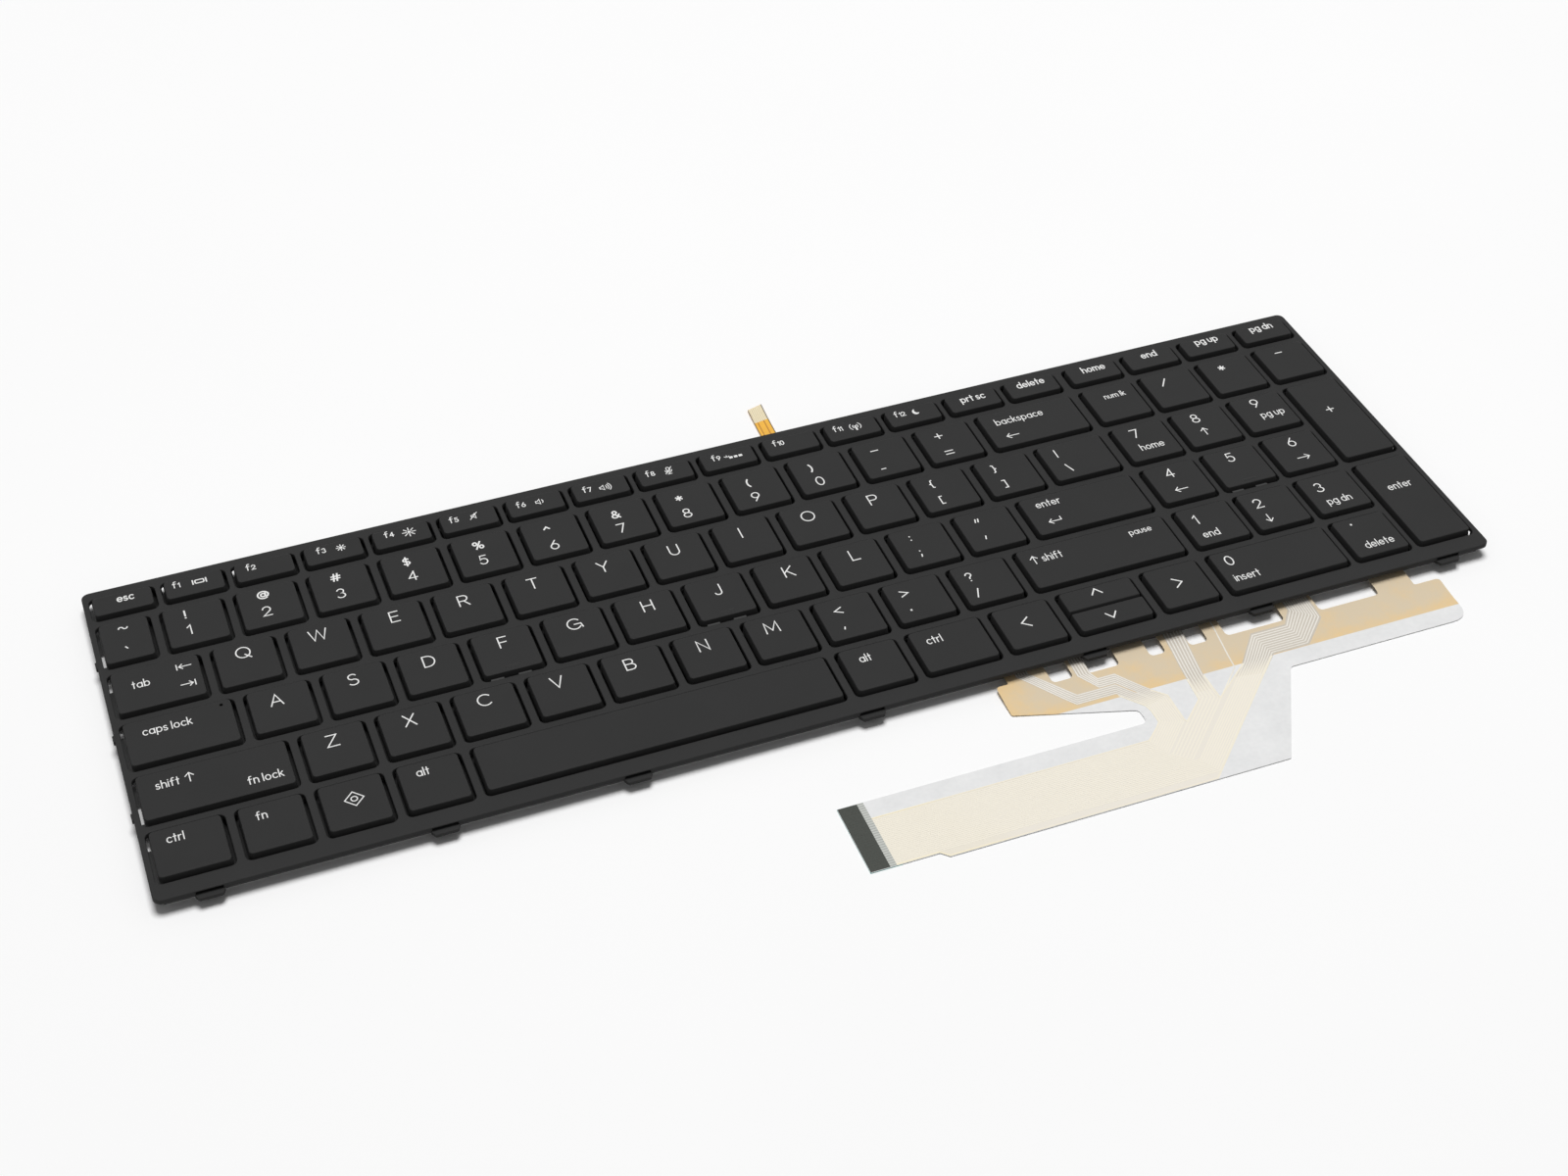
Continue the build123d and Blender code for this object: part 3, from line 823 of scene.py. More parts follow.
signs = {
    "A": [[(0, 0), (0.39, 1), (0.78, 0)], [(0.13, 0.32), (0.65, 0.32)]],
    "B": [
        [(0, 0.53), (0, 1), (0.36, 1), *arc(0.36, 0.765, 0.22, 0.235, 90, -90), (0, 0.53)],
        [(0, 0.53), (0.38, 0.53), *arc(0.38, 0.265, 0.28, 0.265, 90, -90), (0, 0), (0, 0.53)],
    ],
    "C": [arc(0.47, 0.5, 0.47, 0.5, 45, 315)],
    "D": [[(0, 0), (0, 1), (0.28, 1), *arc(0.28, 0.5, 0.46, 0.5, 90, -90), (0, 0)]],
    "E": [[(0.56, 1), (0, 1), (0, 0), (0.56, 0)], [(0, 0.52), (0.5, 0.52)]],
    "F": [[(0.54, 1), (0, 1), (0, 0)], [(0, 0.5), (0.48, 0.5)]],
    "G": [arc(0.46, 0.5, 0.46, 0.5, 42, 322), [(0.47, 0.47), (0.90, 0.47), (0.97, 0.10)]],
    "H": [[(0, 0), (0, 1)], [(0.7, 0), (0.7, 1)], [(0, 0.52), (0.7, 0.52)]],
    "I": [[(0, 0), (0, 1)]],
    "J": [[(0.46, 1), *arc(0.23, 0.25, 0.23, 0.25, 0, -165)]],
    "K": [[(0, 0), (0, 1)], [(0.6, 1), (0, 0.4)], [(0.2, 0.6), (0.66, 0)]],
    "L": [[(0, 1), (0, 0), (0.54, 0)]],
    "M": [[(0, 0), (0.06, 1), (0.46, 0.2), (0.86, 1), (0.92, 0)]],
    "N": [[(0, 0), (0, 1), (0.68, 0), (0.68, 1)]],
    "O": [arc(0.46, 0.5, 0.46, 0.5, 0, 360)],
    "P": [[(0, 0), (0, 1)], [(0, 1), (0.36, 1), *arc(0.36, 0.735, 0.26, 0.265, 90, -90), (0, 0.47)]],
    "Q": [arc(0.46, 0.5, 0.46, 0.5, 0, 360), [(0.56, 0.28), (0.92, -0.08)]],
    "R": [
        [(0, 0), (0, 1)],
        [(0, 1), (0.36, 1), *arc(0.36, 0.735, 0.26, 0.265, 90, -90), (0, 0.47)],
        [(0.34, 0.47), (0.66, 0)],
    ],
    "S": [[*arc(0.32, 0.755, 0.27, 0.245, 35, 262), *arc(0.32, 0.265, 0.31, 0.265, 82, -145)]],
    "T": [[(0, 1), (0.66, 1)], [(0.33, 1), (0.33, 0)]],
    "U": [[(0, 1), *arc(0.33, 0.33, 0.33, 0.33, 180, 360), (0.66, 1)]],
    "V": [[(0, 1), (0.39, 0), (0.78, 1)]],
    "W": [[(0, 1), (0.28, 0), (0.58, 1), (0.88, 0), (1.16, 1)]],
    "X": [[(0, 0), (0.7, 1)], [(0, 1), (0.7, 0)]],
    "Y": [[(0, 1), (0.36, 0.48), (0.72, 1)], [(0.36, 0.48), (0.36, 0)]],
    "Z": [[(0.04, 1), (0.7, 1), (0, 0), (0.74, 0)]],
    "a": [bowl, [(0.54, 0.64), (0.54, 0)]],
    "b": [bowl, [(0, 1), (0, 0)]],
    "c": [arc(0.27, 0.32, 0.27, 0.32, 48, 312)],
    "d": [bowl, [(0.54, 1), (0.54, 0)]],
    "e": [[(0.04, 0.33), (0.5, 0.33)], arc(0.27, 0.32, 0.27, 0.32, 4, 318)],
    "f": [[*arc(0.32, 0.82, 0.16, 0.18, 65, 180), (0.16, 0)], [(0.02, 0.62), (0.34, 0.62)]],
    "g": [bowl, [(0.54, 0.64), *arc(0.28, -0.06, 0.26, 0.24, 0, -150)]],
    "h": [[(0, 1), (0, 0)], [*arc(0.23, 0.38, 0.23, 0.26, 180, 0), (0.46, 0)]],
    "i": [[(0, 0.64), (0, 0)], [(0, 0.87), (0, 0.90)]],
    "k": [[(0, 1), (0, 0)], [(0.38, 0.64), (0, 0.26)], [(0.13, 0.38), (0.42, 0)]],
    "l": [[(0, 1), (0, 0)]],
    "m": [
        [(0, 0.64), (0, 0)],
        [*arc(0.2, 0.42, 0.2, 0.22, 180, 0), (0.4, 0)],
        [*arc(0.6, 0.42, 0.2, 0.22, 180, 0), (0.8, 0)],
    ],
    "n": [[(0, 0.64), (0, 0)], [*arc(0.23, 0.38, 0.23, 0.26, 180, 0), (0.46, 0)]],
    "o": [bowl],
    "p": [bowl, [(0, 0.64), (0, -0.32)]],
    "r": [[(0, 0.64), (0, 0)], arc(0.24, 0.36, 0.24, 0.28, 180, 80)],
    "s": [[*arc(0.19, 0.48, 0.16, 0.16, 40, 262), *arc(0.19, 0.165, 0.19, 0.165, 82, -145)]],
    "t": [[(0.14, 0.94), (0.14, 0)], [(0, 0.64), (0.28, 0.64)]],
    "u": [[(0, 0.64), *arc(0.23, 0.24, 0.23, 0.24, 180, 360), (0.46, 0.64)]],
    "0": [arc(0.30, 0.5, 0.30, 0.5, 0, 360)],
    "1": [[(0, 0.76), (0.24, 1), (0.24, 0)]],
    "2": [[*arc(0.31, 0.70, 0.29, 0.30, 170, -38), (0, 0), (0.62, 0)]],
    "3": [[*arc(0.28, 0.75, 0.25, 0.25, 155, -80), *arc(0.28, 0.26, 0.30, 0.26, 80, -155)]],
    "4": [[(0.46, 0), (0.46, 1)], [(0.46, 1), (0, 0.28), (0.64, 0.28)]],
    "5": [[(0.54, 1), (0.12, 1), (0.06, 0.53), *arc(0.28, 0.32, 0.30, 0.32, 130, -150)]],
    "6": [arc(0.30, 0.31, 0.30, 0.31, 0, 360), [(0.44, 1), (0.05, 0.46)]],
    "7": [[(0, 1), (0.60, 1), (0.18, 0)]],
    "8": [arc(0.30, 0.76, 0.24, 0.24, 0, 360), arc(0.30, 0.26, 0.30, 0.26, 0, 360)],
    "9": [arc(0.30, 0.69, 0.30, 0.31, 0, 360), [(0.55, 0.54), (0.16, 0)]],
    "~": [[*arc(0.18, 0.4, 0.18, 0.16, 180, 15), *arc(0.54, 0.46, 0.18, 0.16, 195, 360)]],
    "`": [[(0, 0.2), (0.14, 0)]],
    "!": [[(0, 1), (0, 0.32)], [(0, 0.02), (0, 0.03)]],
    "@": [
        arc(0.5, 0.48, 0.21, 0.23, 0, 360),
        [
            (0.72, 0.72), (0.70, 0.34),
            *arc(0.82, 0.36, 0.12, 0.12, 190, 320), *arc(0.5, 0.48, 0.5, 0.5, 8, 302),
        ],
    ],
    "#": [
        [(0.20, 0), (0.34, 0.95)],
        [(0.52, 0), (0.66, 0.95)],
        [(0.08, 0.64), (0.84, 0.64)],
        [(0.02, 0.31), (0.78, 0.31)],
    ],
    "$": [
        [*arc(0.3, 0.71, 0.26, 0.21, 35, 262), *arc(0.3, 0.29, 0.29, 0.21, 82, -145)],
        [(0.3, 1.1), (0.3, -0.1)],
    ],
    "%": [
        arc(0.18, 0.76, 0.18, 0.22, 0, 360),
        arc(0.72, 0.24, 0.18, 0.22, 0, 360),
        [(0.70, 1), (0.20, 0)],
    ],
    "^": [[(0, 0), (0.25, 0.30), (0.50, 0)]],
    "&": [
        [(0.72, 0), (0.16, 0.66), *arc(0.33, 0.79, 0.19, 0.21, 200, -40), (0.3, 0.5)],
        [(0.3, 0.5), *arc(0.28, 0.25, 0.28, 0.25, 115, 320), (0.70, 0.46)],
    ],
    "*": [[(0.3, 0.62), (0.3, 0.02)], [(0.04, 0.47), (0.56, 0.17)], [(0.04, 0.17), (0.56, 0.47)]],
    "(": [arc(0.62, 0.5, 0.62, 0.78, 136, 224)],
    ")": [arc(0, 0.5, 0.62, 0.78, 44, -44)],
    "_": [[(0, 0), (0.64, 0)]],
    "-": [[(0, 0), (0.36, 0)]],
    "+": [[(0, 0.34), (0.68, 0.34)], [(0.34, 0.68), (0.34, 0)]],
    "=": [[(0, 0), (0.72, 0)], [(0, 0.42), (0.72, 0.42)]],
    "{": [[(0.28, 1), (0.16, 0.96), (0.13, 0.58), (0, 0.5), (0.13, 0.42), (0.16, 0.04), (0.28, 0)]],
    "}": [[(0, 1), (0.12, 0.96), (0.15, 0.58), (0.28, 0.5), (0.15, 0.42), (0.12, 0.04), (0, 0)]],
    "[": [[(0.24, 1), (0, 1), (0, 0), (0.24, 0)]],
    "]": [[(0, 1), (0.24, 1), (0.24, 0), (0, 0)]],
    "|": [[(0, 1), (0, 0)]],
    "\\": [[(0, 1), (0.36, 0)]],
    "/": [[(0, 0), (0.36, 1)]],
    ":": [[(0, 0.49), (0, 0.51)], [(0, 0), (0, 0.02)]],
    ";": [[(0.06, 0.60), (0.06, 0.62)], [(0.06, 0.12), (0, -0.12)]],
    '"': [[(0.1, 0.36), (0, 0)], [(0.36, 0.36), (0.26, 0)]],
    "'": [[(0.1, 0.36), (0, 0)]],
    "<": [[(0.66, 0.68), (0, 0.34), (0.66, 0)]],
    ">": [[(0, 0.68), (0.66, 0.34), (0, 0)]],
    ",": [[(0.08, 0.22), (0, 0)]],
    ".": [[(0, 0), (0, 0.03)]],
    "?": [[*arc(0.26, 0.76, 0.25, 0.24, 170, -50), (0.27, 0.42), (0.27, 0.30)], [(0.27, 0), (0.27, 0.02)]],
}


def ray(x, y, near, far, angle):
    """A short line pointing away from a centre."""
    turn = radians(angle)
    return [(x + near * cos(turn), y + near * sin(turn)), (x + far * cos(turn), y + far * sin(turn))]


def sun(near, far, rays):
    return [ray(0, 0, near, far, 360 * place / rays) for place in range(rays)]


def square(x, y, wide, high):
    """Corners of an upright rectangle about a place."""
    left = x - wide / 2
    right = x + wide / 2
    low = y - high / 2
    top = y + high / 2
    return [(left, low), (right, low), (right, top), (left, top)]


def flipped(lines, across=1, up=1):
    """Lines mirrored sideways by -1 across, or upside down by -1 up."""
    return [[(across * x, up * y) for x, y in line] for line in lines]


def shifted(points, across):
    return [(x + across, y) for x, y in points]


speaker = [(-1.1, 0.38), (-0.6, 0.38), (0, 1.0), (0, -1.0), (-0.6, -0.38), (-1.1, -0.38), (-1.1, 0.38)]
left_arrow = [[(1.75, 0), (-1.75, 0)], [(-0.75, 0.95), (-1.75, 0), (-0.75, -0.95)]]
up_arrow = [[(0, -1.45), (0, 1.45)], [(-0.95, 0.45), (0, 1.45), (0.95, 0.45)]]
tab_back = [[(-1.75, 0.9), (-1.75, -0.9)], [(1.75, 0), (-1.2, 0)], [(-0.4, 0.8), (-1.2, 0), (-0.4, -0.8)]]
chevron_left = [[(1.05, 1.65), (-1.05, 0), (1.05, -1.65)]]
chevron_up = [[(-1.4, -0.95), (0, 1.0), (1.4, -0.95)]]

# Pictures on the keys, drawn in millimetres about their centre
pictures = {
    "left_arrow": left_arrow,
    "right_arrow": flipped(left_arrow, across=-1),
    "up_arrow": up_arrow,
    "down_arrow": flipped(up_arrow, up=-1),
    "tab_back": tab_back,
    "tab_on": flipped(tab_back, across=-1),
    "return_arrow": [
        [(1.75, 0.85), (1.75, -0.35), (-1.75, -0.35)],
        [(-0.8, 0.55), (-1.75, -0.35), (-0.8, -1.2)],
    ],
    "chevron_left": chevron_left,
    "chevron_right": flipped(chevron_left, across=-1),
    "chevron_up": chevron_up,
    "chevron_down": flipped(chevron_up, up=-1),
    "diamond": [[(0, -2.3), (2.3, 0), (0, 2.3), (-2.3, 0), (0, -2.3)], arc(0, 0, 0.75, 0.75, 0, 360)],
    "display": [
        [
            (-1.1, -0.4), (-0.9, -0.62), (0.9, -0.62), (1.1, -0.4),
            (1.1, 0.4), (0.9, 0.62), (-0.9, 0.62), (-1.1, 0.4), (-1.1, -0.4),
        ],
        [(-1.7, -0.75), (-1.7, 0.75)],
        [(1.7, -0.75), (1.7, 0.75)],
    ],
    "dim_sun": sun(0.72, 1.15, 8),
    "bright_sun": sun(0.75, 1.7, 8),
    "speaker_off": [shifted(speaker, 0.5), [(-1.1, -1.15), (1.1, 1.25)]],
    "speaker_low": [shifted(speaker, -0.1), arc(-0.1, 0, 0.85, 0.9, -40, 40)],
    "speaker_loud": [
        shifted(speaker, -0.55),
        arc(-0.55, 0, 0.8, 0.85, -40, 40),
        arc(-0.55, 0, 1.4, 1.4, -42, 42),
        arc(-0.55, 0, 2.0, 1.95, -44, 44),
    ],
    "microphone_off": [
        [*arc(0, 0.95, 0.42, 0.45, 180, 0), *arc(0, 0.1, 0.42, 0.42, 0, -180), (-0.42, 0.95)],
        arc(0, 0.1, 0.9, 0.9, 180, 360),
        [(0, -0.8), (0, -1.5)],
        [(-0.5, -1.5), (0.5, -1.5)],
        [(-1.05, -1.2), (1.1, 1.35)],
    ],
    "key_lamps": [ray(-1.75, -0.55, 0.35, 0.85, angle) for angle in (40, 90, 140)],
    "antenna": [
        arc(0, 0.35, 0.75, 0.75, -50, 50),
        arc(0, 0.35, 0.75, 0.75, 130, 230),
        arc(0, 0.35, 1.6, 1.6, -46, 46),
        arc(0, 0.35, 1.6, 1.6, 134, 226),
    ],
    "steep_slash": [[(-0.95, -1.45), (0.95, 1.45)]],
    "moon": [],
}

# Filled shapes of the pictures
solid_shapes = {
    "dim_sun": [arc(0, 0, 0.45, 0.45, 0, 340)],
    "bright_sun": [arc(0, 0, 0.42, 0.42, 0, 340)],
    "key_lamps": [square(x, -0.75, 1.0, 0.85) for x in (-0.75, 0.6, 1.95)],
    "antenna": [arc(0, 0.35, 0.34, 0.34, 0, 340), square(0, -0.75, 0.5, 1.3)],
    "moon": [[*arc(0, 0, 1.0, 1.2, 100, 340), *arc(0.55, 0.4, 0.88, 1.0, 318, 142)]],
}

# What each key carries: a sign, word or #picture, then its middle from the left and front of the key's top
key_marks = """
esc           esc 8.1 4.4
f1            f1 2.5 5.0  #display 8.8 4.3
f2            f2 3.3 5.1
f3            f3 3.6 5.1  #dim_sun 9.4 4.3
f4            f4 3.5 5.1  #bright_sun 9.4 4.1
f5            f5 2.8 4.9  #speaker_off 8.8 4.4
f6            f6 2.9 4.6  #speaker_low 8.8 3.9
f7            f7 3.1 4.4  #speaker_loud 8.8 3.5
f8            f8 2.8 4.8  #microphone_off 8.6 4.2
f9            f9 3.5 4.8  #key_lamps 8.9 4.3
f10           f10 3.1 5.0
f11           f11 2.7 5.0  #antenna 8.5 3.9
f12           f12 2.8 5.1  #moon 8.5 4.4
print         prt_sc 7.6 4.3
delete        delete 7.4 4.7
home          home 8.0 4.7
end           end 7.5 5.0
page_up       pg_up 7.9 5.3
page_down     pg_dn 7.5 5.3
grave         ~ 5.7 12.0  ` 5.5 4.5
1             ! 5.3 11.5  1 5.4 5.5
2             @ 6.5 11.8  2 6.2 5.4
3             # 6.5 11.9  3 6.5 5.4
4             $ 6.3 11.4  4 6.5 5.5
5             % 6.6 11.1  5 6.4 5.1
6             ^ 6.4 11.5  6 6.5 4.3
7             & 6.3 10.3  7 6.2 4.5
8             * 5.4 10.7  8 5.5 4.2
9             ( 6.0 10.1  9 6.1 4.1
0             ) 5.3 10.1  0 5.7 4.2
minus         _ 5.4 11.0  - 4.9 2.9
equals        + 5.5 10.7  = 5.6 3.2
backspace     backspace 10.8 10.1  #left_arrow 6.1 3.9
tab           tab 6.6 8.5  #tab_back 17.5 11.4  #tab_on 17.5 4.8
q             Q 6.9 10.9
w             W 7.0 10.7
e             E 7.7 10.6
r             R 6.8 10.3
t             T 6.4 10.3
y             Y 6.4 10.1
u             U 6.8 9.9
i             I 6.5 10.2
o             O 6.7 10.3
p             P 6.6 10.5
left_bracket  { 4.9 10.9  [ 5.0 3.9
right_bracket } 4.5 10.9  ] 4.7 4.1
backslash     | 4.1 10.9  \\ 5.0 4.3
caps_lock     caps_lock 10.1 10.1
a             A 6.5 10.2
s             S 6.9 10.5
d             D 7.1 10.3
f             F 7.3 10.5
g             G 7.2 10.5
h             H 7.7 10.5
j             J 7.5 10.0
k             K 8.2 10.1
l             L 7.6 10.1
semicolon     : 5.0 11.0  ; 5.3 4.5
quote         " 5.3 11.4  ' 4.9 4.4
enter         enter 7.2 11.2  #return_arrow 6.0 4.5
left_shift    shift 6.9 9.9  #up_arrow 12.1 10.5  fn_lock 28.8 3.8
z             Z 6.8 10.3
x             X 7.0 10.5
c             C 6.8 10.8
v             V 6.5 10.5
b             B 6.3 10.3
n             N 6.6 10.3
m             M 6.1 10.5
comma         < 5.2 10.3  , 4.5 3.7
period        > 4.6 10.4  . 3.9 4.0
slash         ? 3.8 10.3  / 3.5 4.0
right_shift   #up_arrow 3.5 10.4  shift 8.4 10.0  pause 34.2 11.1
left_ctrl     ctrl 5.6 10.8
fn            fn 4.9 10.6
system        #diamond 7.4 8.5
left_alt      alt 5.7 11.0
right_alt     alt 5.7 10.2
right_ctrl    ctrl 5.5 10.3
left          #chevron_left 6.7 8.3
up            #chevron_up 9.5 4.7
down          #chevron_down 9.5 3.1
right         #chevron_right 7.0 8.2
num_lock      num_lk 8.1 10.1
divide        #steep_slash 5.5 10.6
multiply      * 5.8 10.9
subtract      _ 6.3 11.6
pad_7         7 5.5 11.2  home 7.6 4.7
pad_8         8 5.9 11.4  #up_arrow 5.9 5.4
pad_9         9 6.5 11.6  pg_up 9.0 5.8
add           + 6.6 20.6
pad_4         4 6.4 11.2  #left_arrow 6.4 4.1
pad_5         5 6.7 11.4
pad_6         6 7.3 11.4  #right_arrow 7.3 4.5
pad_1         1 3.7 10.0  end 5.1 3.5
pad_2         2 4.2 10.1  #down_arrow 4.1 3.9
pad_3         3 4.5 10.2  pg_dn 7.1 3.8
pad_enter     enter 7.0 22.0
pad_0         0 4.2 11.1  insert 5.8 4.1
decimal       . 4.6 12.4  delete 7.9 3.5
"""
marks_of_key = {row.split()[0]: row.split()[1:] for row in key_marks.strip().splitlines()}

fine_pictures = "speaker_off speaker_low speaker_loud microphone_off key_lamps antenna".split()
bold_pictures = "chevron_left chevron_right chevron_up chevron_down steep_slash display".split()
bold_signs = "!@#$%^&*()"
thin_words = ("pause", "num_lk")
dot_width = 0.5
capital_height = 3.8
digit_height = 3.35
sign_height = 3.0
bold_sign_height = 2.75
word_height = 2.5  # the tall letters of a word
small_word_height = 2.05
function_height = 2.3  # the f of a function key
function_number_height = 1.65
function_number_gap = 0.95  # from the middle of the f to its number
function_number_drop = 0.4
letter_space = 0.21  # between the letters of a word, in letter heights
word_space = 0.25
letter_narrowing = 0.89  # width of a word's letters
small_height = 0.64  # letters without a stem, in letter heights
ink_width = 0.34
word_ink_width = 0.28
bold_ink_width = 0.36
bold_sign_width = 0.44
fine_ink_width = 0.24
ink_sink = 0.01
ink_rise = 0.015
ink_layer = 0.003  # each line lies a little above the one it crosses


def extent(lines):
    """Box of a list of lines."""
    xs = [x for line in lines for x, y in line]
    ys = [y for line in lines for x, y in line]
    return min(xs), min(ys), max(xs), max(ys)


def set_word(word):
    """A word's letters side by side, in letter heights."""
    lines = []
    pen = 0.0
    for letter in word:
        if letter == "_":
            pen += word_space
            continue
        left, low, right, high = extent(signs[letter])
        lines += [[((x - left) * letter_narrowing + pen, y) for x, y in line] for line in signs[letter]]
        pen += (right - left) * letter_narrowing + letter_space
    return lines


def sized(lines, height, x, y):
    """Lines at a size, centred on a place."""
    left, low, right, high = extent(lines)
    return [
        [((px - (left + right) / 2) * height + x, (py - (low + high) / 2) * height + y) for px, py in line]
        for line in lines
    ]


def word_lines(word, height, x, y):
    """A word centred on a place by its width and its small letters' height."""
    lines = set_word(word)
    left, low, right, high = extent(lines)
    return [
        [((px - (left + right) / 2) * height + x, (py - small_height / 2) * height + y) for px, py in line]
        for line in lines
    ]


def mark_lines(key, mark, x, y):
    """Lines of one mark, in millimetres, and the width of their ink."""
    if mark[0] == "#" and len(mark) > 1:
        width = fine_ink_width if mark[1:] in fine_pictures else word_ink_width
        if mark[1:] in bold_pictures:
            width = bold_ink_width
        return [[(px + x, py + y) for px, py in line] for line in pictures[mark[1:]]], width
    if mark[0] == "f" and mark[1:].isdigit():
        number = set_word(mark[1:])
        width = extent(number)[2] * function_number_height
        number_x = x + function_number_gap + width / 2
        letter = sized(signs["f"], function_height, x, y)
        number = sized(number, function_number_height, number_x, y - function_number_drop)
        return letter + number, word_ink_width
    if mark in thin_words:
        return word_lines(mark, small_word_height, x, y), fine_ink_width
    if len(mark) > 1:
        return word_lines(mark, word_height, x, y), bold_ink_width if is_shallow(key) else word_ink_width
    if mark == ".":
        return sized(signs[mark], sign_height, x, y), dot_width
    if mark in bold_signs:
        return sized(signs[mark], bold_sign_height, x, y), bold_sign_width
    if mark.isupper():
        return sized(signs[mark], capital_height, x, y), ink_width
    return sized(signs[mark], digit_height if mark.isdigit() else sign_height, x, y), ink_width


def print_marks(mesh, key):
    """Inks a key's marks on its top."""
    words = marks_of_key[key.name]
    for mark, from_left, from_front in zip(words[0::3], words[1::3], words[2::3]):
        x = key.left + float(from_left)
        y = key.front + float(from_front)
        lines, width = mark_lines(key, mark, x, y)
        for layer, line in enumerate(lines):
            stroke(mesh, line, width, key_top - ink_sink, key_top + ink_rise + ink_layer * layer)
        for outline in solid_shapes.get(mark[1:], ()):
            prism(mesh, [(px + x, py + y) for px, py in outline], key_top - ink_sink, key_top + ink_rise)


for key in moving_keys:
    if key.name in marks_of_key:
        mesh = bmesh.new()
        print_marks(mesh, key)
        place_piece(f"legend_{key.name}", finish_mesh("legend", mesh, key_ink), key.body)
for node, group in fixed_groups.items():
    mesh = bmesh.new()
    for key in group:
        print_marks(mesh, key)
    place_piece(f"legends_{node}", finish_mesh("legends", mesh, key_ink), ROOT)


# Frame


def bevelled_hole(mesh, left, front, right, back, corner, outward):
    """Wall of an opening, or of the outside, with a rounded upper edge. Returns its lower and upper rings."""
    rings = [ring(mesh, rounded(left, front, right, back, corner), bezel_under)]
    for step in range(frame_edge_steps + 2):
        angle = radians(90 * min(step, frame_edge_steps) / frame_edge_steps)
        land = frame_land if step > frame_edge_steps else 0.0
        spread = (frame_edge * (1 - cos(angle)) + land) * outward
        height = bezel_top - frame_edge * (1 - sin(angle))
        outline = rounded(left - spread, front - spread, right + spread, back + spread, corner + spread)
        rings.append(ring(mesh, outline, height))
    for lower, upper in zip(rings, rings[1:]):
        wall(mesh, lower, upper)
    return rings[0], rings[-1]


def bezel_plate():
    """The frame's plate with its key openings; the up and down keys share one."""
    mesh = bmesh.new()
    keys = {key.name: key for key in all_keys}
    rims = [bevelled_hole(mesh, -frame_right, frame_front, frame_right, frame_back, frame_corner, -1)]
    for key in all_keys:
        if key.name == "up":
            continue
        back = keys["up"].back if key.name == "down" else key.back
        rims.append(bevelled_hole(
            mesh, key.left - opening_margin, key.front - opening_margin,
            key.right + opening_margin, back + opening_margin, opening_corner, 1,
        ))
    fill(mesh, *[lower for lower, upper in rims])
    fill(mesh, *[upper for lower, upper in rims])
    return finish_mesh("bezel_plate", mesh, frame_plastic, 50)


def cut_notches(maker):
    """Cuts the recess above each tongue."""
    mesh = bmesh.new()
    for place in tongue_places:
        block(
            mesh, place - notch_width / 2, frame_front - cutter_reach,
            place + notch_width / 2, frame_front + notch_depth,
            bezel_under - cutter_reach, bezel_under + notch_height,
        )
    cutter = bpy.data.objects.new("notch_cutter", finish_mesh("notch_cutter", mesh, frame_plastic))
    bpy.context.scene.collection.objects.link(cutter)
    cut = maker.modifiers.new("notches", "BOOLEAN")
    cut.operation = "DIFFERENCE"
    cut.solver = "EXACT"
    cut.object = cutter


def frame_ribs():
    """Tongues, ribs, skirt, posts and nubs of the frame."""
    mesh = bmesh.new()
    root = tongue_root_width / 2
    tip = tongue_tip_width / 2
    for place in tongue_places:
        tongue = rounded_outline([
            (place - root, frame_front + tongue_root, 0),
            (place - root, frame_front, 0),
            (place - tip, frame_front - tongue_reach, tongue_corner),
            (place + tip, frame_front - tongue_reach, tongue_corner),
            (place + root, frame_front, 0),
            (place + root, frame_front + tongue_root, 0),
        ], 4)
        prism(mesh, tongue, bezel_under - tongue_thickness, bezel_under)
    for left, right in back_rib_runs:
        block(mesh, left, plate_back - rib_thickness, right, plate_back, plate_top, bezel_under)
    skirt_right = frame_right - skirt_inset
    for start, end in skirt_runs:
        block(mesh, skirt_right - skirt_thickness, start, skirt_right, end, plate_top, bezel_under)
    for left, right in front_rib_runs:
        block(mesh, left, plate_front, right, plate_front + rib_thickness, plate_top, bezel_under)
    row_fronts = sorted({round(key.front, 2) for key in fixed_groups["symbol_keys"]})
    row_fronts.append(fixed_groups["function_row_keys"][0].front)
    for front in row_fronts:
        y = front - post_from_key
        for column in (-1, 0, 1):
            x = column * post_spacing
            block(
                mesh, x - post_length / 2, y - post_width / 2,
                x + post_length / 2, y + post_width / 2, plate_top, bezel_under,
            )
    for place in (-1, 0, 1):
        y = place * nub_spacing
        nub = rounded(
            -frame_right - nub_reach, y - nub_length / 2,
            -frame_right + nub_root, y + nub_length / 2, nub_corner, 3,
        )
        prism(mesh, nub, bezel_under, bezel_top - nub_drop)
    return finish_mesh("ribs", mesh, frame_plastic)


bezel_data = baked("bezel_cut", bezel_plate(), cut_notches)
bpy.data.objects.remove(bpy.data.objects["notch_cutter"])
mesh = bmesh.new()
mesh.from_mesh(bezel_data)
mesh.from_mesh(frame_ribs())
bezel_whole = bpy.data.meshes.new("bezel_whole")
mesh.to_mesh(bezel_whole)
mesh.free()
bezel_whole.materials.append(frame_plastic)
bezel_whole.shade_smooth()
bezel_whole.set_sharp_from_angle(angle=radians(50))
bezel_piece = place_piece("grid_frame", bezel_whole, ROOT)
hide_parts("bezel")

# Tabs at the front of the homing keys' openings, in a lighter plastic whose tone is a painted glint
mesh = bmesh.new()
tab_top = bezel_top - tab_drop
for key in all_keys:
    if key.name in homing_keys:
        edge = key.front - opening_margin
        for place in tab_places:
            left = key.left + place - tab_length / 2
            block(
                mesh, left, edge - tab_root, left + tab_length, edge + tab_reach,
                tab_top - tab_thickness, tab_top,
            )
frame_piece("opening_tabs", mesh, painted_glint_tab_plastic)


# Film flap, tail and what is printed on them


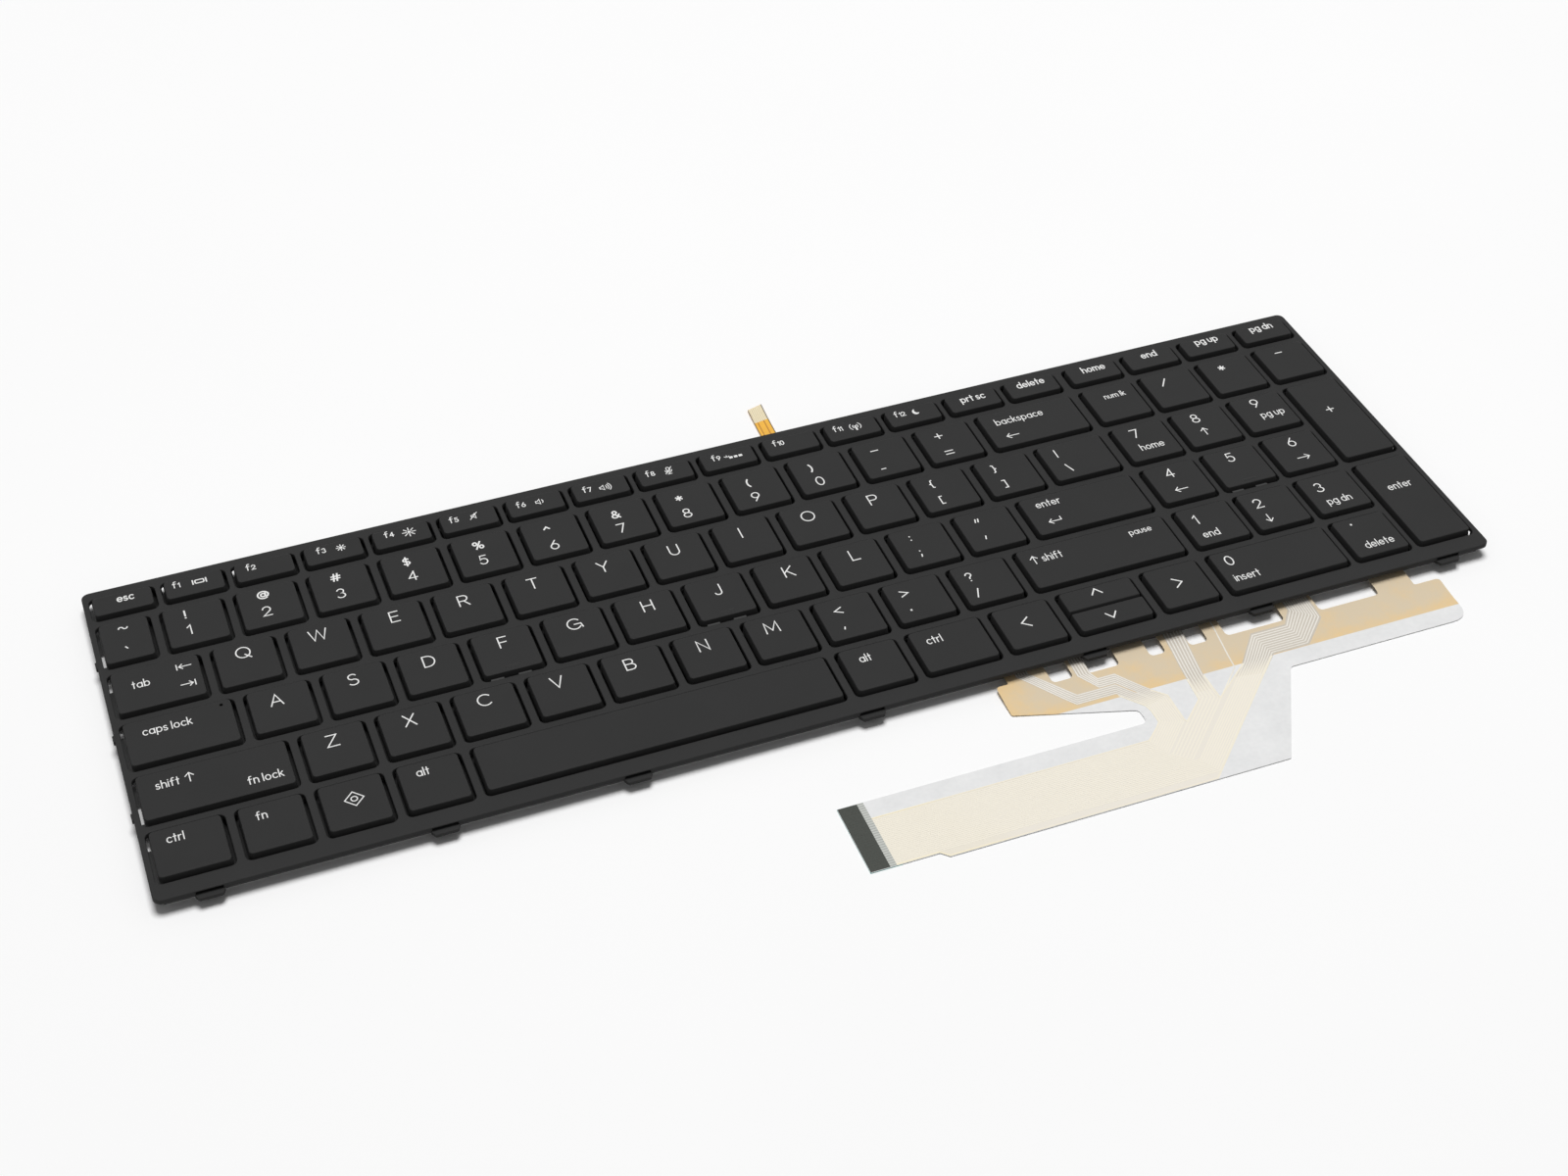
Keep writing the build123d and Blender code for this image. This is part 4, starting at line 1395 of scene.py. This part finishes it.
def film_top(y):
    """Height of the film's upper side, easing down from the plate to the resting surface."""
    share = min(max((plate_front - y) / (plate_front - landing_y), 0.0), 1.0)
    return membrane_top + (film_flat_top - membrane_top) * (3 * share ** 2 - 2 * share ** 3)


def flex_top(y):
    """Height of the flex's upper side, lifting a little towards its free end."""
    return flex_low.z + flex_thickness + flex_lift * flex_share(y) ** 2


def flex_share(y):
    """How far along its free length a place on the flex is."""
    return max((y - frame_back) / (flex_high.y - frame_back), 0.0)


def drape(mesh, start, end, top, steps=14):
    """Cuts a flat mesh into strips between two depths and lays it on a height."""
    for step in range(steps + 1):
        cut = start + (end - start) * step / steps
        geometry = mesh.verts[:] + mesh.edges[:] + mesh.faces[:]
        bmesh.ops.bisect_plane(mesh, geom=geometry, plane_co=(0, cut, 0), plane_no=(0, 1, 0))
    for vertex in mesh.verts:
        vertex.co.z += top(vertex.co.y)


def thicken(mesh, thickness):
    """Gives a sheet a lower side and its edge."""
    faces = mesh.faces[:]
    rims = [edge for edge in mesh.edges if len(edge.link_faces) == 1]
    lower = {vertex: mesh.verts.new(vertex.co - Vector((0, 0, thickness))) for vertex in mesh.verts[:]}
    for face in faces:
        mesh.faces.new([lower[vertex] for vertex in reversed(face.verts)])
    for edge in rims:
        first, second = edge.verts
        mesh.faces.new((first, second, lower[second], lower[first]))


film_corners = [
    (-plate_right, sheet_front, 0),
    (neck_left, sheet_front, 0),
    (neck_left, frame_front - lobe_depth, 0.5),
    (lobe_left, frame_front - lobe_depth, 1.2),
    (lobe_left, frame_front - lobe_far_depth, 0.8),
    (slot_right, frame_front - slot_depth, 1.8),
    (slot_right, arm_back, 1.8),
    (tail_left, arm_back, 0.4),
    (tail_left, tail_front, 0.4),
    (shoulder_left, tail_front, 0.5),
    (shoulder_left + shoulder_drop, film_end, 0.6),
    (arm_right, film_end, 0.8),
    (flap_bend_right, frame_front - flap_far_depth, 1.8),
    (flap_right, frame_front - flap_far_depth, 5.0),
    (flap_right, cutout_front, 1.2),
    (neck_right, cutout_front, 0.6),
    (neck_right, sheet_front, 0),
    (plate_right, sheet_front, 0),
    (plate_right, -sheet_front, 0),
    (-plate_right, -sheet_front, 0),
]
mesh = bmesh.new()
film_rings = [ring(mesh, rounded_outline(film_corners), 0)]
for left, right in cutouts:
    cutout = rounded(left, cutout_front, right, sheet_front - cutout_margin, cutout_corner, 5)
    film_rings.append(ring(mesh, cutout, 0))
fill(mesh, *film_rings)
drape(mesh, plate_front, landing_y, film_top)
thicken(mesh, film_thickness)
film_piece = frame_piece("circuit_film", mesh, circuit, 40)
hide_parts("membrane_circuit")

# Edges of the lacquer between its branches, as (x, y, radius) corners
lacquer_back = (contacts_end, -84.7, 0)
left_branch = [
    (59.8, -68.1, 0), (64.4, -73.7, 0.8), (64.9, -75.7, 0.8),
    (64.9, -79.8, 0.8), (63.6, -81.3, 0.6), (59.8, -84.7, 1.0),
]
middle_branch = [
    (68.0, -69.2, 0), (71.1, -72.2, 0.8), (71.0, -81.3, 0.4),
    (71.4, -82.1, 0.5), (77.6, -76.3, 0.8), (78.2, -69.0, 0),
]
right_branch = [(82.7, -69.0, 0), (82.8, -77.6, 0.4), (93.9, -68.8, 0)]


def front_edge(bend, margin):
    """The lacquer's long front edge, from the right branch to the contacts."""
    return [
        (101.9, -68.8, 0),
        (bend, film_end + margin, 0.6),
        (shoulder_left + shoulder_drop, film_end + margin, 0),
        (shoulder_left, tail_front + margin, 0),
        (contacts_end, tail_front + margin, 0),
    ]


lacquer_corners = [
    lacquer_back,
    *front_edge(lacquer_bend, lacquer_margin)[::-1],
    *right_branch[::-1],
    *middle_branch[::-1],
    *left_branch,
]
mesh = bmesh.new()
fill(mesh, ring(mesh, rounded_outline(lacquer_corners), 0))
drape(mesh, plate_front, landing_y - lacquer_reach, film_top)
for vertex in mesh.verts:
    vertex.co.z += print_lift
thicken(mesh, print_lift)
frame_piece("lacquer_print", mesh, cream)

mesh = bmesh.new()
for rim in ([*left_branch, lacquer_back], middle_branch, right_branch, front_edge(rim_bend, rim_margin)):
    stroke(mesh, [corner[:2] for corner in rim], rim_width, 0.0, print_lift * 4, False)
drape(mesh, plate_front, landing_y - lacquer_reach, film_top)
frame_piece("lacquer_rims", mesh, cream_rim)

# Bundles of printed lines, from under the frame to the contacts. A band lies under the bare part.
Bundle = namedtuple("Bundle", "count bare first last")


def arm_run(order, x, y):
    """A line's way from a place on a branch: at 45 degrees to the arm and along it."""
    target = arm_first - order * line_pitch
    return [(x, y), (x - (y - target), target), (contacts_end, target)]


bundles = [
    Bundle(
        5, 5,
        [(38.8, -53.0), (38.8, -54.4), (49.0, -67.2), (59.6, -67.2), (65.2, -73.7), *arm_run(0, 65.2, -79.8)],
        [(41.6, -53.0), (41.6, -54.4), (50.3, -64.6), (60.6, -64.6), (67.7, -73.1), *arm_run(4, 67.7, -80.6)],
    ),
    Bundle(
        5, 5,
        [(53.2, -53.0), (53.2, -59.0), (56.6, -63.9), (61.0, -63.9), (68.3, -72.9), *arm_run(5, 68.3, -80.8)],
        [(56.2, -53.0), (56.2, -59.0), (57.4, -61.4), (62.0, -61.4), (70.7, -72.2), *arm_run(9, 70.7, -81.6)],
    ),
    Bundle(
        6, 3,
        [(79.7, -53.0), (78.5, -69.2), (78.1, -74.0), *arm_run(10, 78.0, -75.8)],
        [(84.1, -53.0), (82.4, -69.2), (82.4, -74.0), *arm_run(15, 82.4, -77.2)],
    ),
    Bundle(1, 0, [(92.8, -53.0), *arm_run(16, 91.3, -69.3)], [(92.8, -53.0), *arm_run(16, 91.3, -69.3)]),
    Bundle(
        10, 6,
        [
            (113.8, -53.0), (113.8, -56.7), (110.5, -61.0), (100.7, -61.0), (94.4, -68.6), (90.4, -72.6),
            *arm_run(17, 89.4, -73.6),
        ],
        [
            (119.7, -53.0), (119.7, -60.8), (112.6, -67.8), (102.6, -67.8), (101.4, -69.0), (96.8, -73.6),
            *arm_run(26, 95.8, -74.6),
        ],
    ),
]


def between(bundle, share):
    """The line at a share of the way from a bundle's first to its last."""
    return [Vector(first).lerp(Vector(last), share) for first, last in zip(bundle.first, bundle.last)]


mesh = bmesh.new()
for bundle in bundles:
    if bundle.bare:
        near = between(bundle, -band_overlap)[: bundle.bare]
        far = between(bundle, 1 + band_overlap)[: bundle.bare]
        lower = ring(mesh, [(point.x, point.y) for point in near + far[::-1]], print_lift * 2)
        fill(mesh, lower)
drape(mesh, plate_front, landing_y, film_top)
thicken(mesh, print_lift * 2)
frame_piece("line_bands", mesh, between_lines)

mesh = bmesh.new()
for bundle in bundles:
    for line in range(bundle.count):
        path = between(bundle, line / max(bundle.count - 1, 1))
        stroke(mesh, path, line_width, 0.0, print_lift * 3, False)
drape(mesh, plate_front, landing_y, film_top)
frame_piece("silver_lines", mesh, silver)


# Rows of contacts


def new_tree(name, inputs):
    """A geometry node tree with named inputs. Returns it, what it is given and where its result goes."""
    tree = bpy.data.node_groups.new(name, "GeometryNodeTree")
    tree.is_modifier = True
    for socket, kind in {"Geometry": "NodeSocketGeometry", **inputs}.items():
        tree.interface.new_socket(socket, in_out="INPUT", socket_type=kind)
    tree.interface.new_socket("Geometry", in_out="OUTPUT", socket_type="NodeSocketGeometry")
    given = tree.nodes.new("NodeGroupInput")
    result = tree.nodes.new("NodeGroupOutput")
    return tree, given.outputs, result.inputs["Geometry"]


def tree_node(tree, kind, inputs, settings=None):
    """First output of a new node: its settings, then the values or links of its sockets."""
    node = tree.nodes.new(kind)
    for setting, value in (settings or {}).items():
        setattr(node, setting, value)
    for socket, value in inputs.items():
        if isinstance(value, bpy.types.NodeSocket):
            tree.links.new(value, node.inputs[socket])
        else:
            node.inputs[socket].default_value = value
    return node.outputs[0]


def set_on_points(tree, points, shape, material):
    """Real copies of a shape on points, in one finish."""
    copies = tree_node(tree, "GeometryNodeInstanceOnPoints", {"Points": points, "Instance": shape})
    real = tree_node(tree, "GeometryNodeRealizeInstances", {"Geometry": copies})
    return tree_node(tree, "GeometryNodeSetMaterial", {"Geometry": real, "Material": material})


def run_tree(name, tree, values, points=()):
    """The plain mesh that a tree makes of points, with its named inputs set."""
    seeds = bpy.data.meshes.new(name)
    seeds.from_pydata([Vector(point) * MM for point in points], [], [])

    def modify(maker):
        nodes = maker.modifiers.new(name, "NODES")
        nodes.node_group = tree
        for item in tree.interface.items_tree:
            if item.in_out == "INPUT" and item.name in values:
                nodes[item.identifier] = values[item.name]

    return baked(name, seeds, modify)


def finger_row_tree():
    """Geometry nodes that lay a row of equal flat fingers."""
    inputs = {"Fingers": "NodeSocketInt", "Material": "NodeSocketMaterial"}
    inputs.update(dict.fromkeys(("First", "Step", "Size"), "NodeSocketVector"))
    tree, given, result = new_tree("finger_row", inputs)
    places = {"Count": given["Fingers"], "Start Location": given["First"], "Offset": given["Step"]}
    row = tree_node(tree, "GeometryNodeMeshLine", places, {"mode": "OFFSET"})
    finger = tree_node(tree, "GeometryNodeMeshCube", {"Size": given["Size"]})
    tree.links.new(set_on_points(tree, row, finger, given["Material"]), result)
    return tree


fingers_tree = finger_row_tree()
finger_pitch = tail_width / tail_fingers


def contact_band(name, left, right, layers, material):
    """A band across the contact end, so many printed layers high."""
    mesh = bmesh.new()
    block(
        mesh, left, tail_front + band_margin, right, arm_back - band_margin,
        film_flat_top - band_sink, film_flat_top + print_lift * layers,
    )
    frame_piece(name, mesh, material)


def finger_row(name, middle, layers, length, share, thickness, material):
    """Fingers side by side across the contact end, each a share of the pitch wide."""
    first = Vector((middle, tail_front + finger_pitch / 2, film_flat_top + print_lift * layers))
    values = {
        "Fingers": tail_fingers,
        "First": first * MM,
        "Step": Vector((0, finger_pitch, 0)) * MM,
        "Size": Vector((length, finger_pitch * share, thickness)) * MM,
        "Material": material,
    }
    place_piece(name, run_tree(name, fingers_tree, values), ROOT)


carbon_length = carbon_right - tail_left
carbon_middle = tail_left + carbon_length / 2
contact_band("carbon_band", tail_left + carbon_margin, carbon_right, 1, carbon)
finger_row("carbon_fingers", carbon_middle, 1, carbon_length - carbon_trim, carbon_share, carbon_rise, carbon)
hatch_length = contacts_end - carbon_right
hatch_middle = (carbon_right + contacts_end) / 2
contact_band("hatch_band", carbon_right, contacts_end, 3, hatch_grey)
finger_row("hatch_lines", hatch_middle, 3, hatch_length, hatch_share, hatch_rise, hatch_line)


# Backlight flex: its strip and the thin layers on it


def flex_strip(name, left, right, front, back, lift, thickness, material):
    """A strip of one layer of the flex, laid along its rise."""
    mesh = bmesh.new()
    mesh.faces.new(ring(mesh, [(left, front), (right, front), (right, back), (left, back)], lift))
    drape(mesh, frame_back, flex_end, flex_top, flex_steps)
    for vertex in mesh.verts:
        share = flex_share(vertex.co.y)
        vertex.co.y -= flex_slant * share * (flex_high.x - vertex.co.x) / (flex_high.x - flex_low.x)
        vertex.co.x += flex_lean * share ** 2
    thicken(mesh, thickness)
    return frame_piece(name, mesh, material, 40)


def middle_strip(name, middle, width, *rest):
    """A strip of the flex about its middle line."""
    flex_strip(name, middle - width / 2, middle + width / 2, *rest)


flex_left = flex_low.x
flex_right = flex_high.x
flex_front = flex_low.y
flex_body = flex_strip(
    "flex_strip", flex_left, flex_right, flex_front, flex_end, 0, flex_thickness, flex_film
)
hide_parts("backlight_flex")
flex_strip(
    "flex_contact_pad", flex_left + pad_margin, flex_right - pad_margin,
    contact_start, flex_end - pad_gap, *pad_print, flex_cream,
)
for side, x in (("left", flex_left + flex_line_left), ("right", flex_right - flex_line_right)):
    name = f"flex_line_{side}"
    middle_strip(name, x, flex_line_width, flex_front, contact_start, *flex_line_print, flex_copper)
# Dark strips along both edges of the flex
sides = (
    ("left", flex_left + left_side_width / 2, left_side_width),
    ("right", flex_right - right_side_width / 2, right_side_width),
)
for side, x, width in sides:
    middle_strip(f"flex_side_{side}", x, width, flex_front, flex_end, *dark_edge_layer, flex_side)
contact_pitch = (flex_right - flex_left - 2 * contact_margin) / (contact_fingers - 1)
for finger in range(contact_fingers):
    x = flex_left + contact_margin + finger * contact_pitch
    name = f"flex_contact_{finger + 1}"
    middle_strip(name, x, contact_width, contact_start, flex_end - contact_gap, *contact_print, contact_tin)


# Key switches: a silicone dome between two crossed links under each key


def switch_tree():
    """Geometry nodes that set a dome and two crossed link frames on each point."""
    sizes = "Foot Radius,Top Radius,Height,Link Length,Link Width,Link Thickness,Link Tilt".split(",")
    inputs = dict.fromkeys(sizes, "NodeSocketFloat")
    inputs.update(dict.fromkeys(("Dome Material", "Link Material"), "NodeSocketMaterial"))
    tree, given, result = new_tree("key_switch", inputs)

    def number(operation, first, second):
        return tree_node(tree, "ShaderNodeMath", {0: first, 1: second}, {"operation": operation})

    def times(value, factor):
        return number("MULTIPLY", value, factor)

    def vector(*values):
        return tree_node(tree, "ShaderNodeCombineXYZ", dict(enumerate(values)))

    def moved(geometry, **places):
        return tree_node(tree, "GeometryNodeTransform", {"Geometry": geometry, **places})

    def joined(*geometries):
        node = tree.nodes.new("GeometryNodeJoinGeometry")
        for geometry in reversed(geometries):
            tree.links.new(geometry, node.inputs["Geometry"])
        return node.outputs["Geometry"]

    def cone(foot, top, height):
        sizes = {"Vertices": dome_sides, "Radius Bottom": foot, "Radius Top": top, "Depth": height}
        return tree_node(tree, "GeometryNodeMeshCone", sizes)

    def bar(size, place):
        return moved(tree_node(tree, "GeometryNodeMeshCube", {"Size": size}), Translation=place)

    foot = given["Foot Radius"]
    top = given["Top Radius"]
    height = given["Height"]
    collar_height = times(height, collar_share)
    bell_height = times(height, bell_share)
    collar_radius = times(foot, collar_spread)
    collar = cone(collar_radius, collar_radius, collar_height)
    bell = moved(cone(foot, top, bell_height), Translation=vector(0, 0, collar_height))
    plunger_foot = vector(0, 0, number("ADD", collar_height, bell_height))
    plunger = moved(cone(top, top, times(height, plunger_share)), Translation=plunger_foot)
    dome = joined(collar, bell, plunger)

    thick = given["Link Thickness"]
    wide = given["Link Width"]
    tilt = given["Link Tilt"]
    length = given["Link Length"]

    def link_frame(width, turn):
        half_width = times(width, 0.5)
        half_length = times(length, 0.5)
        rail = vector(length, thick, thick)
        tie = vector(thick, width, thick)
        flat = joined(
            bar(rail, vector(0, half_width, 0)),
            bar(rail, vector(0, times(half_width, -1), 0)),
            bar(tie, vector(half_length, 0, 0)),
            bar(tie, vector(times(half_length, -1), 0, 0)),
        )
        return moved(flat, Translation=vector(0, 0, times(height, 0.5)), Rotation=vector(0, turn, 0))

    slim = number("SUBTRACT", wide, times(thick, link_nesting))
    links = joined(link_frame(wide, tilt), link_frame(slim, times(tilt, -1)))
    whole = joined(
        set_on_points(tree, given["Geometry"], dome, given["Dome Material"]),
        set_on_points(tree, given["Geometry"], links, given["Link Material"]),
    )
    tree.links.new(whole, result)
    return tree


switches_tree = switch_tree()
switch_height = key_top - key_roof - membrane_top - switch_clearance


def place_switches(name, keys):
    """Switches under the middles of keys of one kind."""
    points = [((key.left + key.right) / 2, (key.front + key.back) / 2, membrane_top) for key in keys]
    values = {
        "Foot Radius": dome_radius * MM,
        "Top Radius": dome_top_radius * MM,
        "Height": switch_height * MM,
        "Link Length": link_length * MM,
        "Link Width": (shallow_link if is_shallow(keys[0]) else deep_link) * MM,
        "Link Thickness": link_thickness * MM,
        "Link Tilt": radians(link_tilt),
        "Dome Material": silicone,
        "Link Material": link_plastic_painted_shade,
    }
    return place_piece(name, run_tree(name, switches_tree, values, points), ROOT)


fixed_keys = [key for node, group in fixed_groups.items() if node != "function_row_keys" for key in group]
fixed_switches = place_switches("switches_fixed_keys", fixed_keys)
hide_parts("rubber_domes")
place_switches("switches_function_row", fixed_groups["function_row_keys"])
for key in moving_keys:
    switch = place_switches(f"switch_{key.name}", [key])
    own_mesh(switch)


# Left edge of the black mask film, which shows beside the first keys and is cut out in places
mesh = bmesh.new()
for start, end in mask_runs:
    block(mesh, mask_low.x - mask_reach, start, mask_low.x, end, mask_low.z, mask_high.z)
frame_piece("mask_edge", mesh, mask_film)


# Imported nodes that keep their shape
for node, material in {
    "base_plate": plate_steel_painted_shade,
    "light_guide": guide_sheet,
    "light_mask": mask_film,
    "reflector_sheet": reflector,
    "tail_stiffener": stiffener,
}.items():
    data = frame["nodes"][node].data
    data.materials.clear()
    data.materials.append(material)


# Floor, light and camera


floor_fade = (320.0, 750.0)  # distances between which the floor goes over into the backdrop


def floor_finish():
    """Pale floor, a little mottled, that goes over into the white backdrop away from the object."""
    finish = Finish("pale_floor", {"Roughness": 0.9, "Specular IOR Level": 0.1})
    cloud = finish.noise(120.0, 2.0)
    finish.feed("Base Color", finish.blend(cloud, grey(0.965), grey(0.985)))
    distance = finish.node("ShaderNodeVectorMath", {"operation": "LENGTH"}, {0: finish.place}, "Value")
    rays = [
        finish.node("ShaderNodeLightPath", output=kind)
        for kind in ("Is Camera Ray", "Is Glossy Ray", "Is Transmission Ray")
    ]
    looked_at = rays[0].math("MAXIMUM", rays[0], rays[0].math("MAXIMUM", rays[1], rays[2]))
    white = finish.node("ShaderNodeEmission", None, {"Color": grey(1.0), "Strength": 1.0})
    pale = Wire(finish, finish.surface.outputs["BSDF"])
    share = finish.ramp(distance, *floor_fade) * looked_at
    faded = finish.node("ShaderNodeMixShader", None, {0: share, 1: pale, 2: white})
    finish.links.new(faded.socket, finish.nodes["Material Output"].inputs["Surface"])
    return finish.material


floor_size = 12.0
floor_drop = 0.02 * MM  # below the object
floor_data = bpy.data.meshes.new("floor")
floor_corners = [(x, y, 0) for x, y in square(0, 0, floor_size, floor_size)]
floor_data.from_pydata(floor_corners, [], [(0, 1, 2, 3)])
floor_data.materials.append(floor_finish())
floor = bpy.data.objects.new("floor", floor_data)
floor.location.z = -floor_drop
bpy.context.scene.collection.objects.link(floor)

world = bpy.data.worlds.new("studio")
world.use_nodes = True
bpy.context.scene.world = world
world_nodes = world.node_tree.nodes
world_links = world.node_tree.links
backdrop = world_nodes["Background"]
backdrop.inputs["Color"].default_value = (1, 1, 1, 1)
ray_kind = world_nodes.new("ShaderNodeLightPath")
fill_level = 0.2  # light from all round


def world_sum(operation, *values):
    """A Math node of the world."""
    node = world_nodes.new("ShaderNodeMath")
    node.operation = operation
    for socket, value in zip(node.inputs, values):
        if isinstance(value, float):
            socket.default_value = value
        else:
            world_links.new(value, socket)
    return node.outputs[0]


mirrored = world_sum("MAXIMUM", ray_kind.outputs["Is Glossy Ray"], ray_kind.outputs["Is Transmission Ray"])
looked_at = world_sum("MAXIMUM", ray_kind.outputs["Is Camera Ray"], mirrored)
strength = world_sum("MULTIPLY_ADD", looked_at, 1.0 - fill_level, fill_level)
world_links.new(strength, backdrop.inputs["Strength"])


def soft_light(name, place, aim, size, power):
    lamp = bpy.data.lights.new(name, "AREA")
    lamp.shape = "DISK"
    lamp.size = size
    lamp.energy = power
    light = bpy.data.objects.new(name, lamp)
    light.location = place
    light.rotation_euler = (Vector(aim) - Vector(place)).to_track_quat("-Z", "Y").to_euler()
    bpy.context.scene.collection.objects.link(light)


soft_light("overhead_softbox", (0.15, 0.25, 3.0), (0, 0, 0), 1.5, 76.0)

camera_data = bpy.data.cameras.new("camera")
camera_data.lens = 55.75
camera_data.sensor_width = 36.0
camera_data.clip_start = 0.01
camera = bpy.data.objects.new("camera", camera_data)
camera_place = Vector((-165.03, -440.84, 415.58)) * MM
camera_aim = Vector((-2.75, -1.32, 0.0)) * MM
camera_roll = -0.41
turn = (camera_aim - camera_place).to_track_quat("-Z", "Y").to_euler()
camera.location = camera_place
camera.rotation_euler = turn
camera.rotation_euler.rotate_axis("Z", radians(camera_roll))
bpy.context.scene.collection.objects.link(camera)
bpy.context.scene.camera = camera
bpy.context.scene.view_settings.view_transform = "Standard"
